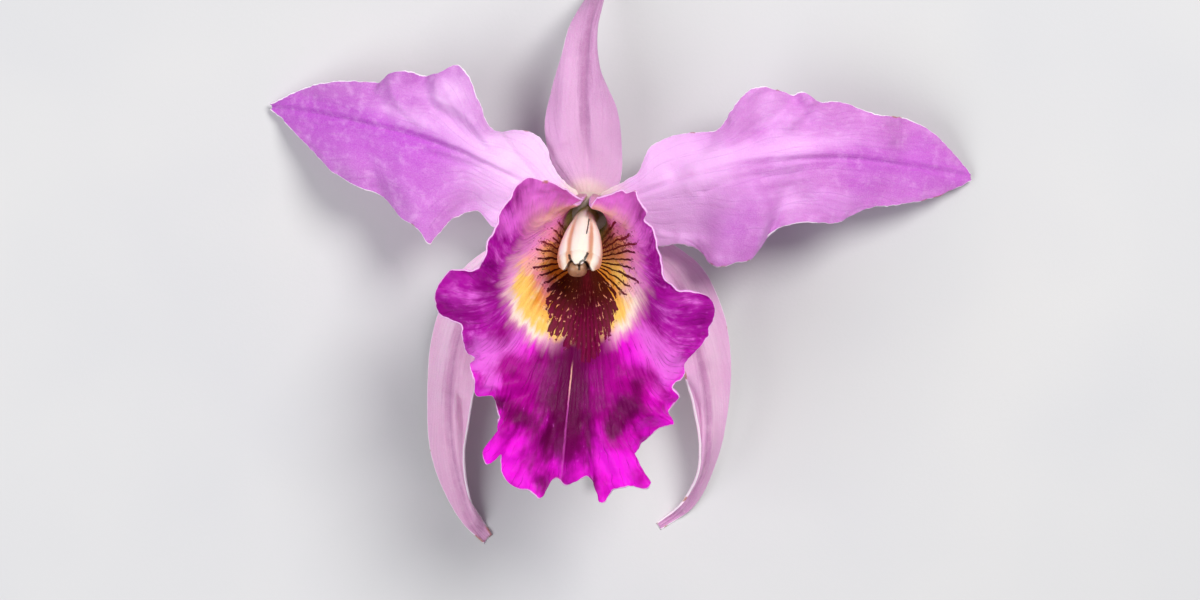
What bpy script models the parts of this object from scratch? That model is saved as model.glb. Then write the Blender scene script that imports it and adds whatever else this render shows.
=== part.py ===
"""A cattleya flower as picked, lying on its back: three sepals, two petals, lip, column and stalk.

Lengths are in millimetres until the meshes are made, and positions are measured from the heart, the
point where every segment meets. +X is the flower's right as it is seen, +Y its top, +Z the way it faces.
"""
import math

import bmesh
import bpy
import numpy as np

MM = 0.001
GAP = 0.3  # clearance between neighbouring pieces

HEART = (-6.9, 8.1, 16.5)  # the heart, above the middle of the surface the flower lies on
FLOOR = -HEART[2]  # that surface, measured from the heart

KNOB_RADIUS = 5.1  # the top of the ovary, that carries every segment
KNOB_DEPTH = 4.4
MARGIN_THICKNESS = 0.8
PETAL_RIB_THICKNESS = 1.2
SEPAL_RIB_THICKNESS = 1.3
LIP_RIB_THICKNESS = 1.1

# Each guide is a list of (place along the blade from claw to tip, x, y, z).
PETAL_LEFT = {
    "midrib": [
        (0, -4.6, 2.7, -0.9), (0.1, -10, 5, 0.2), (0.25, -21.5, 11, 2.5), (0.45, -33.5, 16, 3),
        (0.65, -46, 19.5, 0), (0.85, -59, 22.5, -8), (1, -69, 24, -15.2),
    ],
    "upper": [
        (0, -2.4, 4.9, -0.9), (0.07, -7, 9.5, -0.5), (0.15, -9.5, 15.5, -1), (0.19, -11.5, 17.5, -1),
        (0.24, -15, 18.5, -1), (0.315, -20.5, 18.5, 1), (0.385, -23.5, 24.5, 4.5), (0.44, -26, 30.5, 6),
        (0.465, -27.5, 32, 5), (0.525, -32.5, 30.5, 2.5), (0.55, -34.5, 30, 1.5), (0.61, -39.5, 31, 3),
        (0.645, -42.5, 30.5, 0.5), (0.67, -44, 29, -1), (0.725, -48.5, 29, -2), (0.805, -56, 29, -5.5),
        (0.885, -62.5, 27.5, -9.5), (0.96, -68, 25, -13.5), (1, -69.5, 24.6, -15.2),
    ],
    "lower": [
        (0, -5.5, -0.4, -0.9), (0.11, -12, -3, -1.5), (0.215, -20, -2.5, -2.5), (0.3, -24, 1, -1),
        (0.39, -29.5, -1, 1.5), (0.455, -33, -5, 3), (0.475, -33.8, -6, 3.5), (0.54, -36.5, -3, 3.5),
        (0.615, -40.5, 0, 1), (0.67, -44, 4, -1.5), (0.74, -49, 6, -1), (0.82, -55, 9.5, -5),
        (0.9, -61.5, 16, -10), (0.965, -67, 21.5, -14), (1, -69.3, 23.5, -15.2),
    ],
}
PETAL_RIGHT = {
    "midrib": [
        (0, 4.6, 2.7, -0.9), (0.1, 11.5, 5, 0.2), (0.25, 23, 8.5, 2.5), (0.45, 38, 11.5, 3),
        (0.65, 54, 12.5, 0.5), (0.85, 69.5, 11, -7.5), (1, 83, 8.5, -15.2),
    ],
    "upper": [
        (0, 2.4, 4.9, -0.9), (0.05, 6.5, 7, -0.8), (0.1, 10.5, 9.5, -0.5), (0.15, 12.5, 14, -1),
        (0.215, 17, 17, -1), (0.29, 23.5, 18, -0.5), (0.365, 28, 19, 2), (0.42, 31, 23.5, 4),
        (0.475, 34.5, 27, 5), (0.51, 37.5, 27.5, 5.5), (0.58, 43.5, 26, 2.5), (0.61, 46, 26.5, 4),
        (0.63, 48, 25, 3), (0.7, 54, 24.5, 0), (0.78, 61.5, 22, -2.5), (0.86, 68.5, 21, -6),
        (0.93, 75, 17.5, -10), (0.98, 81, 11.5, -14), (1, 83, 9.2, -15.2),
    ],
    "lower": [
        (0, 5.5, -0.4, -0.9), (0.05, 8.5, -3.5, -1.5), (0.1, 12, -5.5, -2), (0.15, 15.5, -6.5, -1),
        (0.2, 18.5, -6, 0.5), (0.29, 23.5, -7.5, 2), (0.36, 27, -11, 4.5), (0.43, 32, -10, 2.5),
        (0.46, 34.5, -9.5, 1), (0.505, 37, -6, -2), (0.56, 40, -3, 0), (0.64, 46.5, -1.5, 1.5),
        (0.715, 53, -1.5, -1), (0.785, 59.5, 1.5, -4), (0.86, 67, 2.5, -7), (0.94, 75.5, 4.5, -12),
        (1, 83.3, 8, -15.2),
    ],
}
DORSAL_SEPAL = {
    "midrib": [
        (0, 0, 5.5, -2.4), (0.1, -0.2, 11, -1.2), (0.25, -0.7, 18.5, 1.5), (0.45, -1, 28.5, 3.5),
        (0.6, -0.5, 36.5, 2.3), (0.75, 0.8, 43.8, -2.5), (0.88, 2.3, 49, -10), (0.95, 3, 51.9, -15.6),
        (1, 3.4, 54.8, -16.3),
    ],
    "upper": [
        (0, -3.1, 4.5, -2.4), (0.06, -5, 7, -3.2), (0.12, -7, 9.5, -3.4), (0.24, -9, 15, -3),
        (0.31, -9.5, 19, -2), (0.45, -8, 27, 0.5), (0.59, -6, 34, 1.5), (0.73, -4.3, 40.5, -0.5),
        (0.87, -0.7, 47, -8.5), (0.95, 1.8, 51.6, -15.4), (1, 2.8, 54.8, -16.3),
    ],
    "lower": [
        (0, 3.1, 4.5, -2.4), (0.06, 5.5, 5.5, -3.2), (0.18, 7, 10, -3), (0.25, 7, 14, -3),
        (0.39, 6, 22.5, -0.5), (0.53, 2.5, 30.5, 1), (0.67, 1.5, 38, 0), (0.81, 2.5, 44.5, -5),
        (0.9, 3.7, 49, -12), (0.95, 4.2, 51.6, -15.4), (1, 4.1, 54.6, -16.3),
    ],
}
LATERAL_SEPAL_LEFT = {
    "midrib": [
        (0, -4.6, -2.8, -2.4), (0.14, -13.5, -7.5, -5), (0.28, -22.5, -15, -6.5), (0.42, -27.5, -25, -7),
        (0.56, -29.5, -34.5, -8), (0.7, -29.7, -46.5, -9), (0.85, -27.5, -59, -12.5),
        (0.94, -25, -66.5, -15.6), (1, -22, -70, -16.2),
    ],
    "upper": [
        (0, -5.5, 0.2, -2.4), (0.07, -10.5, -1.5, -5), (0.14, -16.5, -4, -7.5), (0.28, -27.5, -11.5, -9),
        (0.35, -30.5, -16, -10), (0.49, -34, -26, -11), (0.62, -35, -37.5, -11.5), (0.74, -34.5, -50, -12.5),
        (0.85, -31.5, -59.5, -14.5), (0.94, -27, -67, -16), (1, -22.8, -71, -16.2),
    ],
    "lower": [
        (0, -2.6, -4.9, -2.4), (0.07, -6, -7.5, -3.5), (0.14, -11, -10.5, -4.5), (0.28, -18, -18.5, -4.5),
        (0.42, -22, -28.5, -4), (0.56, -24.5, -37, -4.5), (0.68, -26, -45, -5), (0.8, -27, -53.5, -8),
        (0.9, -25.3, -62, -12.5), (0.94, -23.5, -65, -14.5), (1, -21, -69, -16.2),
    ],
}
LATERAL_SEPAL_RIGHT = {
    "midrib": [
        (0, 4.6, -2.8, -2.4), (0.14, 12, -7.5, -5), (0.27, 18.5, -14, -6), (0.42, 22.3, -25, -7),
        (0.57, 25, -38, -8), (0.72, 25.3, -50, -9), (0.85, 23.5, -57.5, -12.5), (0.94, 19.5, -64, -15.6),
        (1, 15, -67.3, -16.2),
    ],
    "upper": [
        (0, 5.5, 0.2, -2.4), (0.07, 9.5, -1.5, -5), (0.14, 14.5, -4, -7.5), (0.27, 23.5, -10, -9),
        (0.39, 27.5, -16.5, -10), (0.51, 30, -24.5, -11), (0.6, 30.7, -32.5, -11.5), (0.69, 30, -41.5, -12),
        (0.81, 27.5, -53, -13.5), (0.92, 22.5, -63, -15.8), (1, 15.5, -68, -16.2),
    ],
    "lower": [
        (0, 2.6, -4.9, -2.4), (0.07, 5.5, -7.5, -3.5), (0.14, 9.5, -11, -4.5), (0.27, 15, -18, -4.5),
        (0.39, 18.5, -26, -4.5), (0.51, 20.5, -34, -4), (0.63, 22.5, -40.5, -4.5), (0.75, 24, -49.5, -6.5),
        (0.87, 22.5, -58, -10.8), (0.92, 20, -62, -13.5), (1, 14.5, -66.6, -16.2),
    ],
}

# The lip is a trumpet. Each ring round the column is (share of the way out, centre, radius, height), where
# radius and height are given below the column, beside it and above it.
LIP_RINGS = [
    (0, (0, 0), (4.1, 4.1, 4.1), (0.85, 0.85, 0.85)),
    (0.14, (-0.6, -1.4), (5.2, 4.9, 4.9), (6, 7, 6)),
    (0.28, (-1, -4.6), (9.4, 6.2, 7.4), (11, 14, 12)),
    (0.45, (-1.4, -10), (17, 10.5, 12.4), (22, 20, 15.5)),
    (0.72, (-2, -16), (28, 17.5, 18.4), (28.5, 27.5, 18.5)),
]
# The lip's frilled margin as (angle of its fan from straight down, x, y, z), from slit to slit.
LIP_MARGIN = [
    (-176, -1.2, 2.8, 20.5), (-168, -3.7, 4.8, 22.7), (-159, -6.5, 6.5, 25), (-150, -10.5, 7.5, 27),
    (-145, -12.5, 8, 27), (-140, -15, 6.5, 26.5), (-131, -17, 3, 27), (-122, -19, -0.5, 27.5),
    (-112, -20.5, -5, 29), (-102, -22.5, -9.5, 29.5), (-96.5, -24, -11.5, 28.5), (-92.5, -28.5, -11.5, 26),
    (-89, -31.5, -14.5, 25), (-85, -32.5, -17.5, 25), (-80, -31.5, -21, 26), (-76, -29.5, -22, 27.5),
    (-72, -27, -23, 28.5), (-67, -26.5, -26, 27.5), (-62, -25.5, -29, 26), (-58, -24, -30.5, 27),
    (-54.5, -25, -32, 28.5), (-50.5, -24, -35, 27.5), (-46.5, -23.5, -38, 26), (-43.5, -20.3, -38, 28),
    (-40, -19.4, -40.5, 28.5), (-37, -18.6, -42.6, 28), (-34, -19.2, -45.3, 27.3),
    (-31, -18.9, -48.2, 27), (-28.5, -22.3, -50.3, 28.5), (-27, -21.5, -52.5, 29.5),
    (-24.5, -18.5, -50.5, 27), (-22.5, -18.5, -53.5, 25),
    (-19.5, -16.5, -56.5, 25), (-13, -11.5, -58.5, 28.5), (-11, -10, -59.5, 28), (-9.5, -8.5, -57, 26),
    (-5.5, -6, -56, 26.5), (-4, -5, -57, 25.5), (2, 0.5, -55.5, 26), (5, 2.5, -60.5, 29),
    (8, 5, -58, 28), (11.5, 8, -57, 30), (17, 12, -55.5, 31), (18.5, 9, -52, 26),
    (20.5, 10, -50, 24), (24.5, 12.5, -47, 24.5), (29, 15.5, -44.5, 27.5), (33, 18, -44, 29.5),
    (37, 17, -41, 27.5), (41, 19, -38, 28), (43, 17.5, -36.5, 29), (46.5, 20, -34, 28),
    (52, 20, -31, 26), (58, 22.5, -28.5, 26.5), (64.5, 24.5, -26.5, 27), (70.5, 25.5, -24, 26.5),
    (77, 26.5, -20.5, 25.5), (83, 26, -18, 25), (87, 23.5, -16.5, 26.5), (91, 19, -16, 28.5),
    (95, 17, -14.5, 29.5), (103, 15.5, -11, 29.5), (115, 14.5, -6.5, 28), (127, 13.5, -2.5, 27),
    (131, 12.3, -1.2, 26), (135.5, 12.5, 0.5, 27), (143, 10.5, 3.5, 27), (148, 10, 5, 26.5),
    (152, 8, 4.5, 25), (157, 7, 5, 25), (164.5, 4, 3.8, 22.7), (172, 1.5, 3, 20.5),
]

# The column as (share of its length, x, y, z, half width, half thickness).
COLUMN = [
    (0, -0.3, -0.2, 0.6, 2.4, 2.4), (0.2, -0.8, -0.9, 6, 2.4, 2.4), (0.42, -1.1, -2.2, 12, 2.8, 2.7),
    (0.64, -1.4, -4.8, 17.5, 4, 3.2), (0.82, -1.8, -8, 21.6, 4.7, 3.2), (0.94, -2, -10.2, 23.7, 4.5, 2.8),
    (1, -2.1, -10.9, 24.2, 3.9, 2.4),
]
COLUMN_KEEL = 0.3
COLUMN_BELLY = 0.75
COLUMN_RIDGE = 0.05
# The anther cap at the column's end, the teeth on either side of it and the pollen masses inside.
CAP_CENTRE = (-2.4, -11.3, 24.3)
CAP_RADII = (2.1, 1.6, 1.8)
CAP_TILT = math.radians(-35)
TOOTH_MIDDLE = (-2.1, -10.2, 23.8)
TOOTH_REACH = 3.6
TOOTH_RADII = (0.8, 1.7, 1.1)
CHAMBER_RADII = (1.5, 1.0, 1.4)
INWARD = (0, 0.8, -0.6)  # from the cap's middle back along the column
POLLEN_MASS_RADII = (0.36, 0.5, 0.65)
POLLEN_MASS_STEP = 0.58
STRAP_OFFSET = (0, -0.15, -0.5)  # from the masses' middle to the strap that holds them together
STRAP_RADII = (1, 0.25, 0.25)
# The ovary and its stalk as (share of the length, x, y, z, radius).
STALK_RIB = 0.07
STALK_RIB_RISE = 0.1  # share of the length over which the ribs come up below the knob
STALK = [
    (0, 0, 0, 0, KNOB_RADIUS), (0.07, 0, -0.1, -KNOB_DEPTH, KNOB_RADIUS), (0.13, 0, -1.6, -7.4, 4.2),
    (0.22, 0.3, -6.5, -10.3, 3.4), (0.42, 1.3, -21, -12.2, 3.1), (0.7, 2.3, -40, -13.2, 2.5),
    (1, 3, -57, -14.2, 2.1),
]


def spline(points, at):
    """Smooth curve through the points, each a parameter and its values, read at other parameters."""
    table = np.array(points, float)
    place = table[:, 0]
    value = table[:, 1:]
    slope = np.gradient(value, place, axis=0)
    at = np.asarray(at, float)
    low = np.clip(np.searchsorted(place, at, side="right") - 1, 0, len(place) - 2)
    span = (place[low + 1] - place[low])[:, None]
    t = ((at - place[low])[:, None]) / span
    ends = value[low] * (1 + 2 * t) * (1 - t) ** 2 + value[low + 1] * t**2 * (3 - 2 * t)
    return ends + span * (slope[low] * t * (1 - t) ** 2 + slope[low + 1] * t**2 * (t - 1))


def unit(vectors):
    return vectors / np.maximum(np.linalg.norm(vectors, axis=-1, keepdims=True), 1e-9)


def blade_surface(guides, rows, columns):
    """Points of a blade: each cross-section is a parabola from one margin over the midrib to the other."""
    along = np.linspace(0, 1, rows)
    curves = [spline(guides[name], along)[:, None, :] for name in ("upper", "midrib", "lower")]
    upper, midrib, lower = curves
    across = np.linspace(-1, 1, columns)
    side = across[None, :, None]
    surface = midrib + side * (lower - upper) / 2 + side**2 * ((lower + upper) / 2 - midrib)
    return surface, np.broadcast_to(np.abs(across), (rows, columns))


def lip_surface(columns):
    """Points of the lip, a row for each direction of its fan and a column for each ring on the way out."""
    listed = [point[0] for point in LIP_MARGIN]
    fan = []
    for first, second in zip(listed, listed[1:]):
        fan += list(np.linspace(first, second, max(1, round((second - first) / 5)) + 1)[:-1])
    fan = np.array(fan + listed[-1:])
    margin = spline(LIP_MARGIN, fan)
    turn = np.radians(fan)

    def round_column(values):
        below, beside, above = values
        mean = (below + above) / 4 + beside / 2
        return mean + (below - above) / 2 * np.cos(turn) + ((below + above) / 2 - mean) * np.cos(2 * turn)

    rings = []
    for share, (x, y), radius, height in LIP_RINGS:
        out = round_column(radius)
        ring = np.stack([x + out * np.sin(turn), y - out * np.cos(turn), round_column(height)], axis=1)
        rings.append((share, ring))
    rings.append((1, margin))
    places = np.linspace(0, 1, columns)
    surface = np.empty((len(fan), columns, 3))
    for row in range(len(fan)):
        surface[row] = spline([(share, *ring[row]) for share, ring in rings], places)
    return surface, np.broadcast_to(places, (len(fan), columns))


def grid_triangles(rows, columns):
    """Two triangles for every cell of a grid, split the same way all over."""
    index = np.arange(rows * columns).reshape(rows, columns)
    a, b, c, d = index[:-1, :-1], index[1:, :-1], index[1:, 1:], index[:-1, 1:]
    return np.concatenate([np.stack(t, -1).reshape(-1, 3) for t in ((a, b, c), (a, c, d))])


def new_object(name, points, faces, material, smooth_angle=60):
    """An object at the heart from points in millimetres about it, its faces turned outward."""
    mesh = bpy.data.meshes.new(name)
    corners = [tuple(point) for point in np.asarray(points) * MM]
    mesh.from_pydata(corners, [], [tuple(int(i) for i in face) for face in faces])
    bm = bmesh.new()
    bm.from_mesh(mesh)
    bmesh.ops.recalc_face_normals(bm, faces=bm.faces)
    if bm.calc_volume(signed=True) < 0:
        bmesh.ops.reverse_faces(bm, faces=bm.faces)
    bm.to_mesh(mesh)
    bm.free()
    mesh.shade_smooth()
    mesh.set_sharp_from_angle(angle=math.radians(smooth_angle))
    mesh.materials.append(material)
    obj = bpy.data.objects.new(name, mesh)
    bpy.context.collection.objects.link(obj)
    obj.parent = heart
    return obj


def thin_blade(name, surface, from_rib, rib_thickness, material):
    """A closed blade round a grid of points, split alike on both faces, that stays above the floor."""
    rows, columns = surface.shape[:2]
    down = np.gradient(surface, axis=0)
    over = np.gradient(surface, axis=1)
    normal = unit(np.cross(down, over))
    thickness = MARGIN_THICKNESS + (rib_thickness - MARGIN_THICKNESS) * (1 - from_rib) ** 2
    offset = normal * thickness[..., None] / 2
    faces_of_blade = [surface + offset, surface - offset]
    for face in faces_of_blade:
        face[..., 2] = np.maximum(face[..., 2], FLOOR)
    points = np.concatenate([face.reshape(-1, 3) for face in faces_of_blade])
    front = grid_triangles(rows, columns)
    count = rows * columns
    back = front[:, ::-1] + count
    index = np.arange(count).reshape(rows, columns)
    edge = np.concatenate([index[0, :-1], index[:-1, -1], index[-1, :0:-1], index[:0:-1, 0]])
    after = np.roll(edge, -1)
    rim = np.concatenate([
        np.stack([edge, after, after + count], axis=1),
        np.stack([edge, after + count, edge + count], axis=1),
    ])
    return new_object(name, points, np.concatenate([front, back, rim]), material)


def tube(name, centres, sections, material):
    """A closed tube: sections[i] holds (across, up) points round centres[i], set square to the path.

    Up is the side turned towards +Z: the column's back, and the top of the lying stalk.
    """
    path = unit(np.gradient(centres, axis=0))
    across = np.array([1.0, 0, 0]) - path * path[:, :1]
    across = unit(across)
    up = np.cross(path, across)
    sides = sections.shape[1]
    rings = centres[:, None] + sections[..., :1] * across[:, None] + sections[..., 1:] * up[:, None]
    points = np.concatenate([rings.reshape(-1, 3), centres[:1], centres[-1:]])
    index = np.arange(len(centres) * sides).reshape(len(centres), sides)
    turned = np.roll(index, -1, axis=1)
    faces = []
    for near, near_next, far, far_next in zip(index[:-1], turned[:-1], index[1:], turned[1:]):
        faces += [(a, b, d, c) for a, b, c, d in zip(near, near_next, far, far_next)]
    start, end = len(points) - 2, len(points) - 1
    faces += [(b, a, start) for a, b in zip(index[0], turned[0])]
    faces += [(a, b, end) for a, b in zip(index[-1], turned[-1])]
    return new_object(name, points, faces, material)


def ball(name, centre, radii, tilt=0.0, rows=10, sides=16, material=None):
    """An ellipsoid about a point, tilted about the X axis."""
    latitude = np.linspace(0, math.pi, rows + 1)[1:-1]
    longitude = np.arange(sides) * math.tau / sides
    ring = [(0, 0, 1.0)]
    for a in latitude:
        ring += [(math.sin(a) * math.cos(b), math.sin(a) * math.sin(b), math.cos(a)) for b in longitude]
    ring.append((0, 0, -1.0))
    points = np.array(ring) * radii
    turn = np.array([[1, 0, 0], [0, math.cos(tilt), -math.sin(tilt)], [0, math.sin(tilt), math.cos(tilt)]])
    points = points @ turn.T + centre
    faces = []
    for row in range(rows - 2):
        for side in range(sides):
            here = 1 + row * sides + side
            near = 1 + row * sides + (side + 1) % sides
            faces.append((here, near, near + sides, here + sides))
    last = len(points) - 1
    first_of_last_ring = last - sides
    for side in range(sides):
        following = (side + 1) % sides
        faces.append((0, 1 + following, 1 + side))
        faces.append((last, first_of_last_ring + side, first_of_last_ring + following))
    return new_object(name, points, faces, material or waxy)


def join_by(operation, target, others):
    """Union or difference of helpers into the target, applied, with the helpers removed."""
    for other in others:
        modifier = target.modifiers.new(other.name, "BOOLEAN")
        modifier.operation = operation
        modifier.solver = "EXACT"
        modifier.object = other
    bpy.context.view_layer.update()
    evaluated = target.evaluated_get(bpy.context.evaluated_depsgraph_get())
    target.modifiers.clear()
    target.data = bpy.data.meshes.new_from_object(evaluated)
    for other in others:
        bpy.data.objects.remove(other)
    return target


def material(name, colour, roughness):
    made = bpy.data.materials.new(name)
    made.use_nodes = True
    shader = made.node_tree.nodes["Principled BSDF"]
    shader.inputs["Base Color"].default_value = (*colour, 1)
    shader.inputs["Roughness"].default_value = roughness
    shader.inputs["Metallic"].default_value = 0
    return made


for old in list(bpy.data.objects):
    bpy.data.objects.remove(old)
heart = bpy.data.objects.new("heart", None)
bpy.context.collection.objects.link(heart)
heart.location = [value * MM for value in HEART]
waxy = material("pollen_wax", (0.85, 0.62, 0.12), 0.4)


def sepals():
    tissue = {"colour": (0.72, 0.44, 0.7), "roughness": 0.45}
    for name, guides in (
        ("dorsal_sepal", DORSAL_SEPAL),
        ("lateral_sepal_left", LATERAL_SEPAL_LEFT),
        ("lateral_sepal_right", LATERAL_SEPAL_RIGHT),
    ):
        surface, from_rib = blade_surface(guides, rows=27, columns=9)
        thin_blade(name, surface, from_rib, SEPAL_RIB_THICKNESS, material(name + "_tissue", **tissue))


def petals():
    tissue = {"colour": (0.67, 0.27, 0.72), "roughness": 0.45}
    for name, guides in (("petal_left", PETAL_LEFT), ("petal_right", PETAL_RIGHT)):
        surface, from_rib = blade_surface(guides, rows=37, columns=13)
        thin_blade(name, surface, from_rib, PETAL_RIB_THICKNESS, material(name + "_tissue", **tissue))


def lip():
    surface, outward = lip_surface(columns=14)
    thin_blade("lip", surface, outward, LIP_RIB_THICKNESS, material("lip_tissue", (0.5, 0.02, 0.42), 0.4))


def column_section(half_width, half_thickness, sides):
    """Narrowing to a keel on the back with a low ridge on either side, flatter on the belly."""
    turn = np.arange(sides) * math.tau / sides
    back = np.maximum(0, np.cos(turn))
    across = half_width * np.sin(turn) * (1 - COLUMN_KEEL * back)
    up = half_thickness * np.cos(turn)
    up = np.where(up < 0, up * COLUMN_BELLY, up * (1 + COLUMN_RIDGE * np.cos(6 * turn)))
    return np.stack([across, up], axis=1)


def column():
    """The club in the throat. Its end is hollowed for the anther cap, and a tooth stands on either side."""
    stations = np.concatenate([np.linspace(0, 0.94, 13), [0.975, 1]])
    values = spline(COLUMN, stations)
    sections = np.array([column_section(w, t, sides=24) for w, t in values[:, 3:]])
    body = tube("column", values[:, :3], sections, material("column_tissue", (0.86, 0.8, 0.72), 0.4))
    teeth = [
        ball("tooth", np.array(TOOTH_MIDDLE) + (side * TOOTH_REACH, 0, 0), TOOTH_RADII, rows=8, sides=10)
        for side in (-1, 1)
    ]
    join_by("UNION", body, teeth)
    hollow = ball("hollow", CAP_CENTRE, np.array(CAP_RADII) + GAP, CAP_TILT, rows=12, sides=20)
    return join_by("DIFFERENCE", body, [hollow])


def anther():
    """The cap over the column's end, open on its inner side, and the four waxy masses that it holds."""
    cap = ball("anther_cap", CAP_CENTRE, CAP_RADII, CAP_TILT, rows=12, sides=20,
               material=material("anther_cap_tissue", (0.78, 0.62, 0.45), 0.5))
    held_at = np.array(CAP_CENTRE) + INWARD
    chamber = ball("chamber", held_at, CHAMBER_RADII, CAP_TILT, rows=12, sides=16)
    join_by("DIFFERENCE", cap, [chamber])
    masses = [
        ball(f"mass_{i}", held_at + ((i - 1.5) * POLLEN_MASS_STEP, 0, 0), POLLEN_MASS_RADII, CAP_TILT, 8, 12)
        for i in range(4)
    ]
    masses[0].name = "pollinia"
    strap = ball("strap", held_at + STRAP_OFFSET, STRAP_RADII, rows=8, sides=12)
    join_by("UNION", masses[0], masses[1:] + [strap])


def stalk():
    stations = np.concatenate([[0, 0.07], np.linspace(0.1, 1, 19)])
    values = spline(STALK, stations)
    turn = np.arange(24) * math.tau / 24
    sections = []
    for place, radius in zip(stations, values[:, 3]):
        rise = min(1, max(0, (place - stations[1]) / STALK_RIB_RISE))
        rib = STALK_RIB * rise * (1 - place)
        out = radius * (1 + rib * np.cos(6 * turn))
        sections.append(np.stack([out * np.sin(turn), out * np.cos(turn)], axis=1))
    tube("ovary_pedicel", values[:, :3], np.array(sections), material("stalk_tissue", (0.45, 0.5, 0.2), 0.5))


sepals()
petals()
lip()
column()
anther()
stalk()
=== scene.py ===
# %% [markdown]
# # A cattleya orchid in bloom
#
# The real flower has three sepals, two petals, a frilled lip rolled round the column, and behind
# them the ovary, which is also the flower's stalk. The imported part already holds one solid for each
# of these. This lesson keeps every solid where it is and lays a finer piece over it, with thin
# edges, veins, frills and colour. The solids come first, because all else is measured from them.

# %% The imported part
import math

import bpy
import numpy as np
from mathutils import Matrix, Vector


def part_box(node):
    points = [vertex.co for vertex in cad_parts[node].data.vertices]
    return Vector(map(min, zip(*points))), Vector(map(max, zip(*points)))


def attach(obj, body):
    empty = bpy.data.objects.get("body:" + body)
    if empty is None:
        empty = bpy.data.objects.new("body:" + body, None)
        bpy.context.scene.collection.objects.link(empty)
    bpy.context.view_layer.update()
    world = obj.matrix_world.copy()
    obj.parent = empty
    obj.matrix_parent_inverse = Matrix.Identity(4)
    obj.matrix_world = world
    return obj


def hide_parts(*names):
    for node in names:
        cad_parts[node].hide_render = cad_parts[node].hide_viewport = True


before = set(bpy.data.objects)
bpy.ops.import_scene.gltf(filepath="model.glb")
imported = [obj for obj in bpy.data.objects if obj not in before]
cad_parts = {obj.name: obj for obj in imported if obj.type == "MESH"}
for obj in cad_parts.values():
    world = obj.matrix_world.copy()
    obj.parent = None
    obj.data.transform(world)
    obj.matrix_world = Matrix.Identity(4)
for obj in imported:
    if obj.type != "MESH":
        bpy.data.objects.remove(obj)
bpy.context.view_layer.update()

print("solids:", ", ".join(sorted(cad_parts)))

# %% [markdown]
# ## The heart of the flower
#
# Sepals, petals, lip and column all meet on the knob at the top of the ovary. Every measure below is
# in millimetres from the middle of that knob, X to the right of the picture, Y along the upper
# sepal and Z towards the eye. The knob is round, so the box of its solid gives the place.

# %% The heart
MM = 0.001
KNOB_RADIUS = 5.1
HEART_HEIGHT = 16.5
stalk_low, stalk_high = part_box("ovary_pedicel")
HEART = np.array([stalk_low.x / MM + KNOB_RADIUS, stalk_high.y / MM - KNOB_RADIUS, HEART_HEIGHT])
FLOOR = -HEART_HEIGHT
print("heart at", HEART.round(2), "mm")

# %% [markdown]
# ## The eye
#
# The picture was taken square to the open flower. The part lies on its back, so the camera hangs
# straight above it and looks down. One picture pixel is about a fifth of a millimetre at the heart,
# which gives the lens once the distance is chosen. A long distance suits a flower portrait.

# %% The camera
PICTURE_WIDTH, PICTURE_HEIGHT = 1200, 600
HEART_PIXEL = (589, 216)
MM_PER_PIXEL = 0.2143
EYE_DISTANCE = 1200
SENSOR = 36

eye = bpy.data.objects.new("eye", bpy.data.cameras.new("eye"))
bpy.context.scene.collection.objects.link(eye)
right_of_heart = (PICTURE_WIDTH / 2 - HEART_PIXEL[0]) * MM_PER_PIXEL
below_heart = (PICTURE_HEIGHT / 2 - HEART_PIXEL[1]) * MM_PER_PIXEL
eye.location = Vector((HEART + (right_of_heart, -below_heart, EYE_DISTANCE)) * MM)
eye.data.sensor_width = SENSOR
eye.data.lens = SENSOR * EYE_DISTANCE / (PICTURE_WIDTH * MM_PER_PIXEL)
bpy.context.scene.camera = eye
print("lens", round(eye.data.lens, 1), "mm")


def on_picture(column, row, height=0.0):
    """The place, in millimetres from the heart, of a point read off the picture, at this height above it."""
    scale = MM_PER_PIXEL * (1 - height / EYE_DISTANCE)
    return (column - PICTURE_WIDTH / 2) * scale + right_of_heart, (PICTURE_HEIGHT / 2 - row) * scale - below_heart


# %% [markdown]
# ## A notation for nodes
#
# Both the shapes and the colours below are node trees. Written node by node they would hide their
# own arithmetic, so one small class lets a socket take part in ordinary sums, and one method adds
# any other node. The same two serve geometry trees and materials, so the veins can be written once
# and used as relief and as colour.

# %% Sums of sockets
class Value:
    """An output socket. A sum or product with it adds a Math node to its tree."""

    def __init__(self, tree, socket):
        self.tree = tree
        self.socket = socket

    def __add__(self, other):
        return self.tree.maths("ADD", self, other)

    def __sub__(self, other):
        return self.tree.maths("SUBTRACT", self, other)

    def __rsub__(self, other):
        return self.tree.maths("SUBTRACT", other, self)

    def __mul__(self, other):
        return self.tree.maths("MULTIPLY", self, other)

    def __truediv__(self, other):
        return self.tree.maths("DIVIDE", self, other)

    def __rtruediv__(self, other):
        return self.tree.maths("DIVIDE", other, self)

    __radd__ = __add__
    __rmul__ = __mul__


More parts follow.
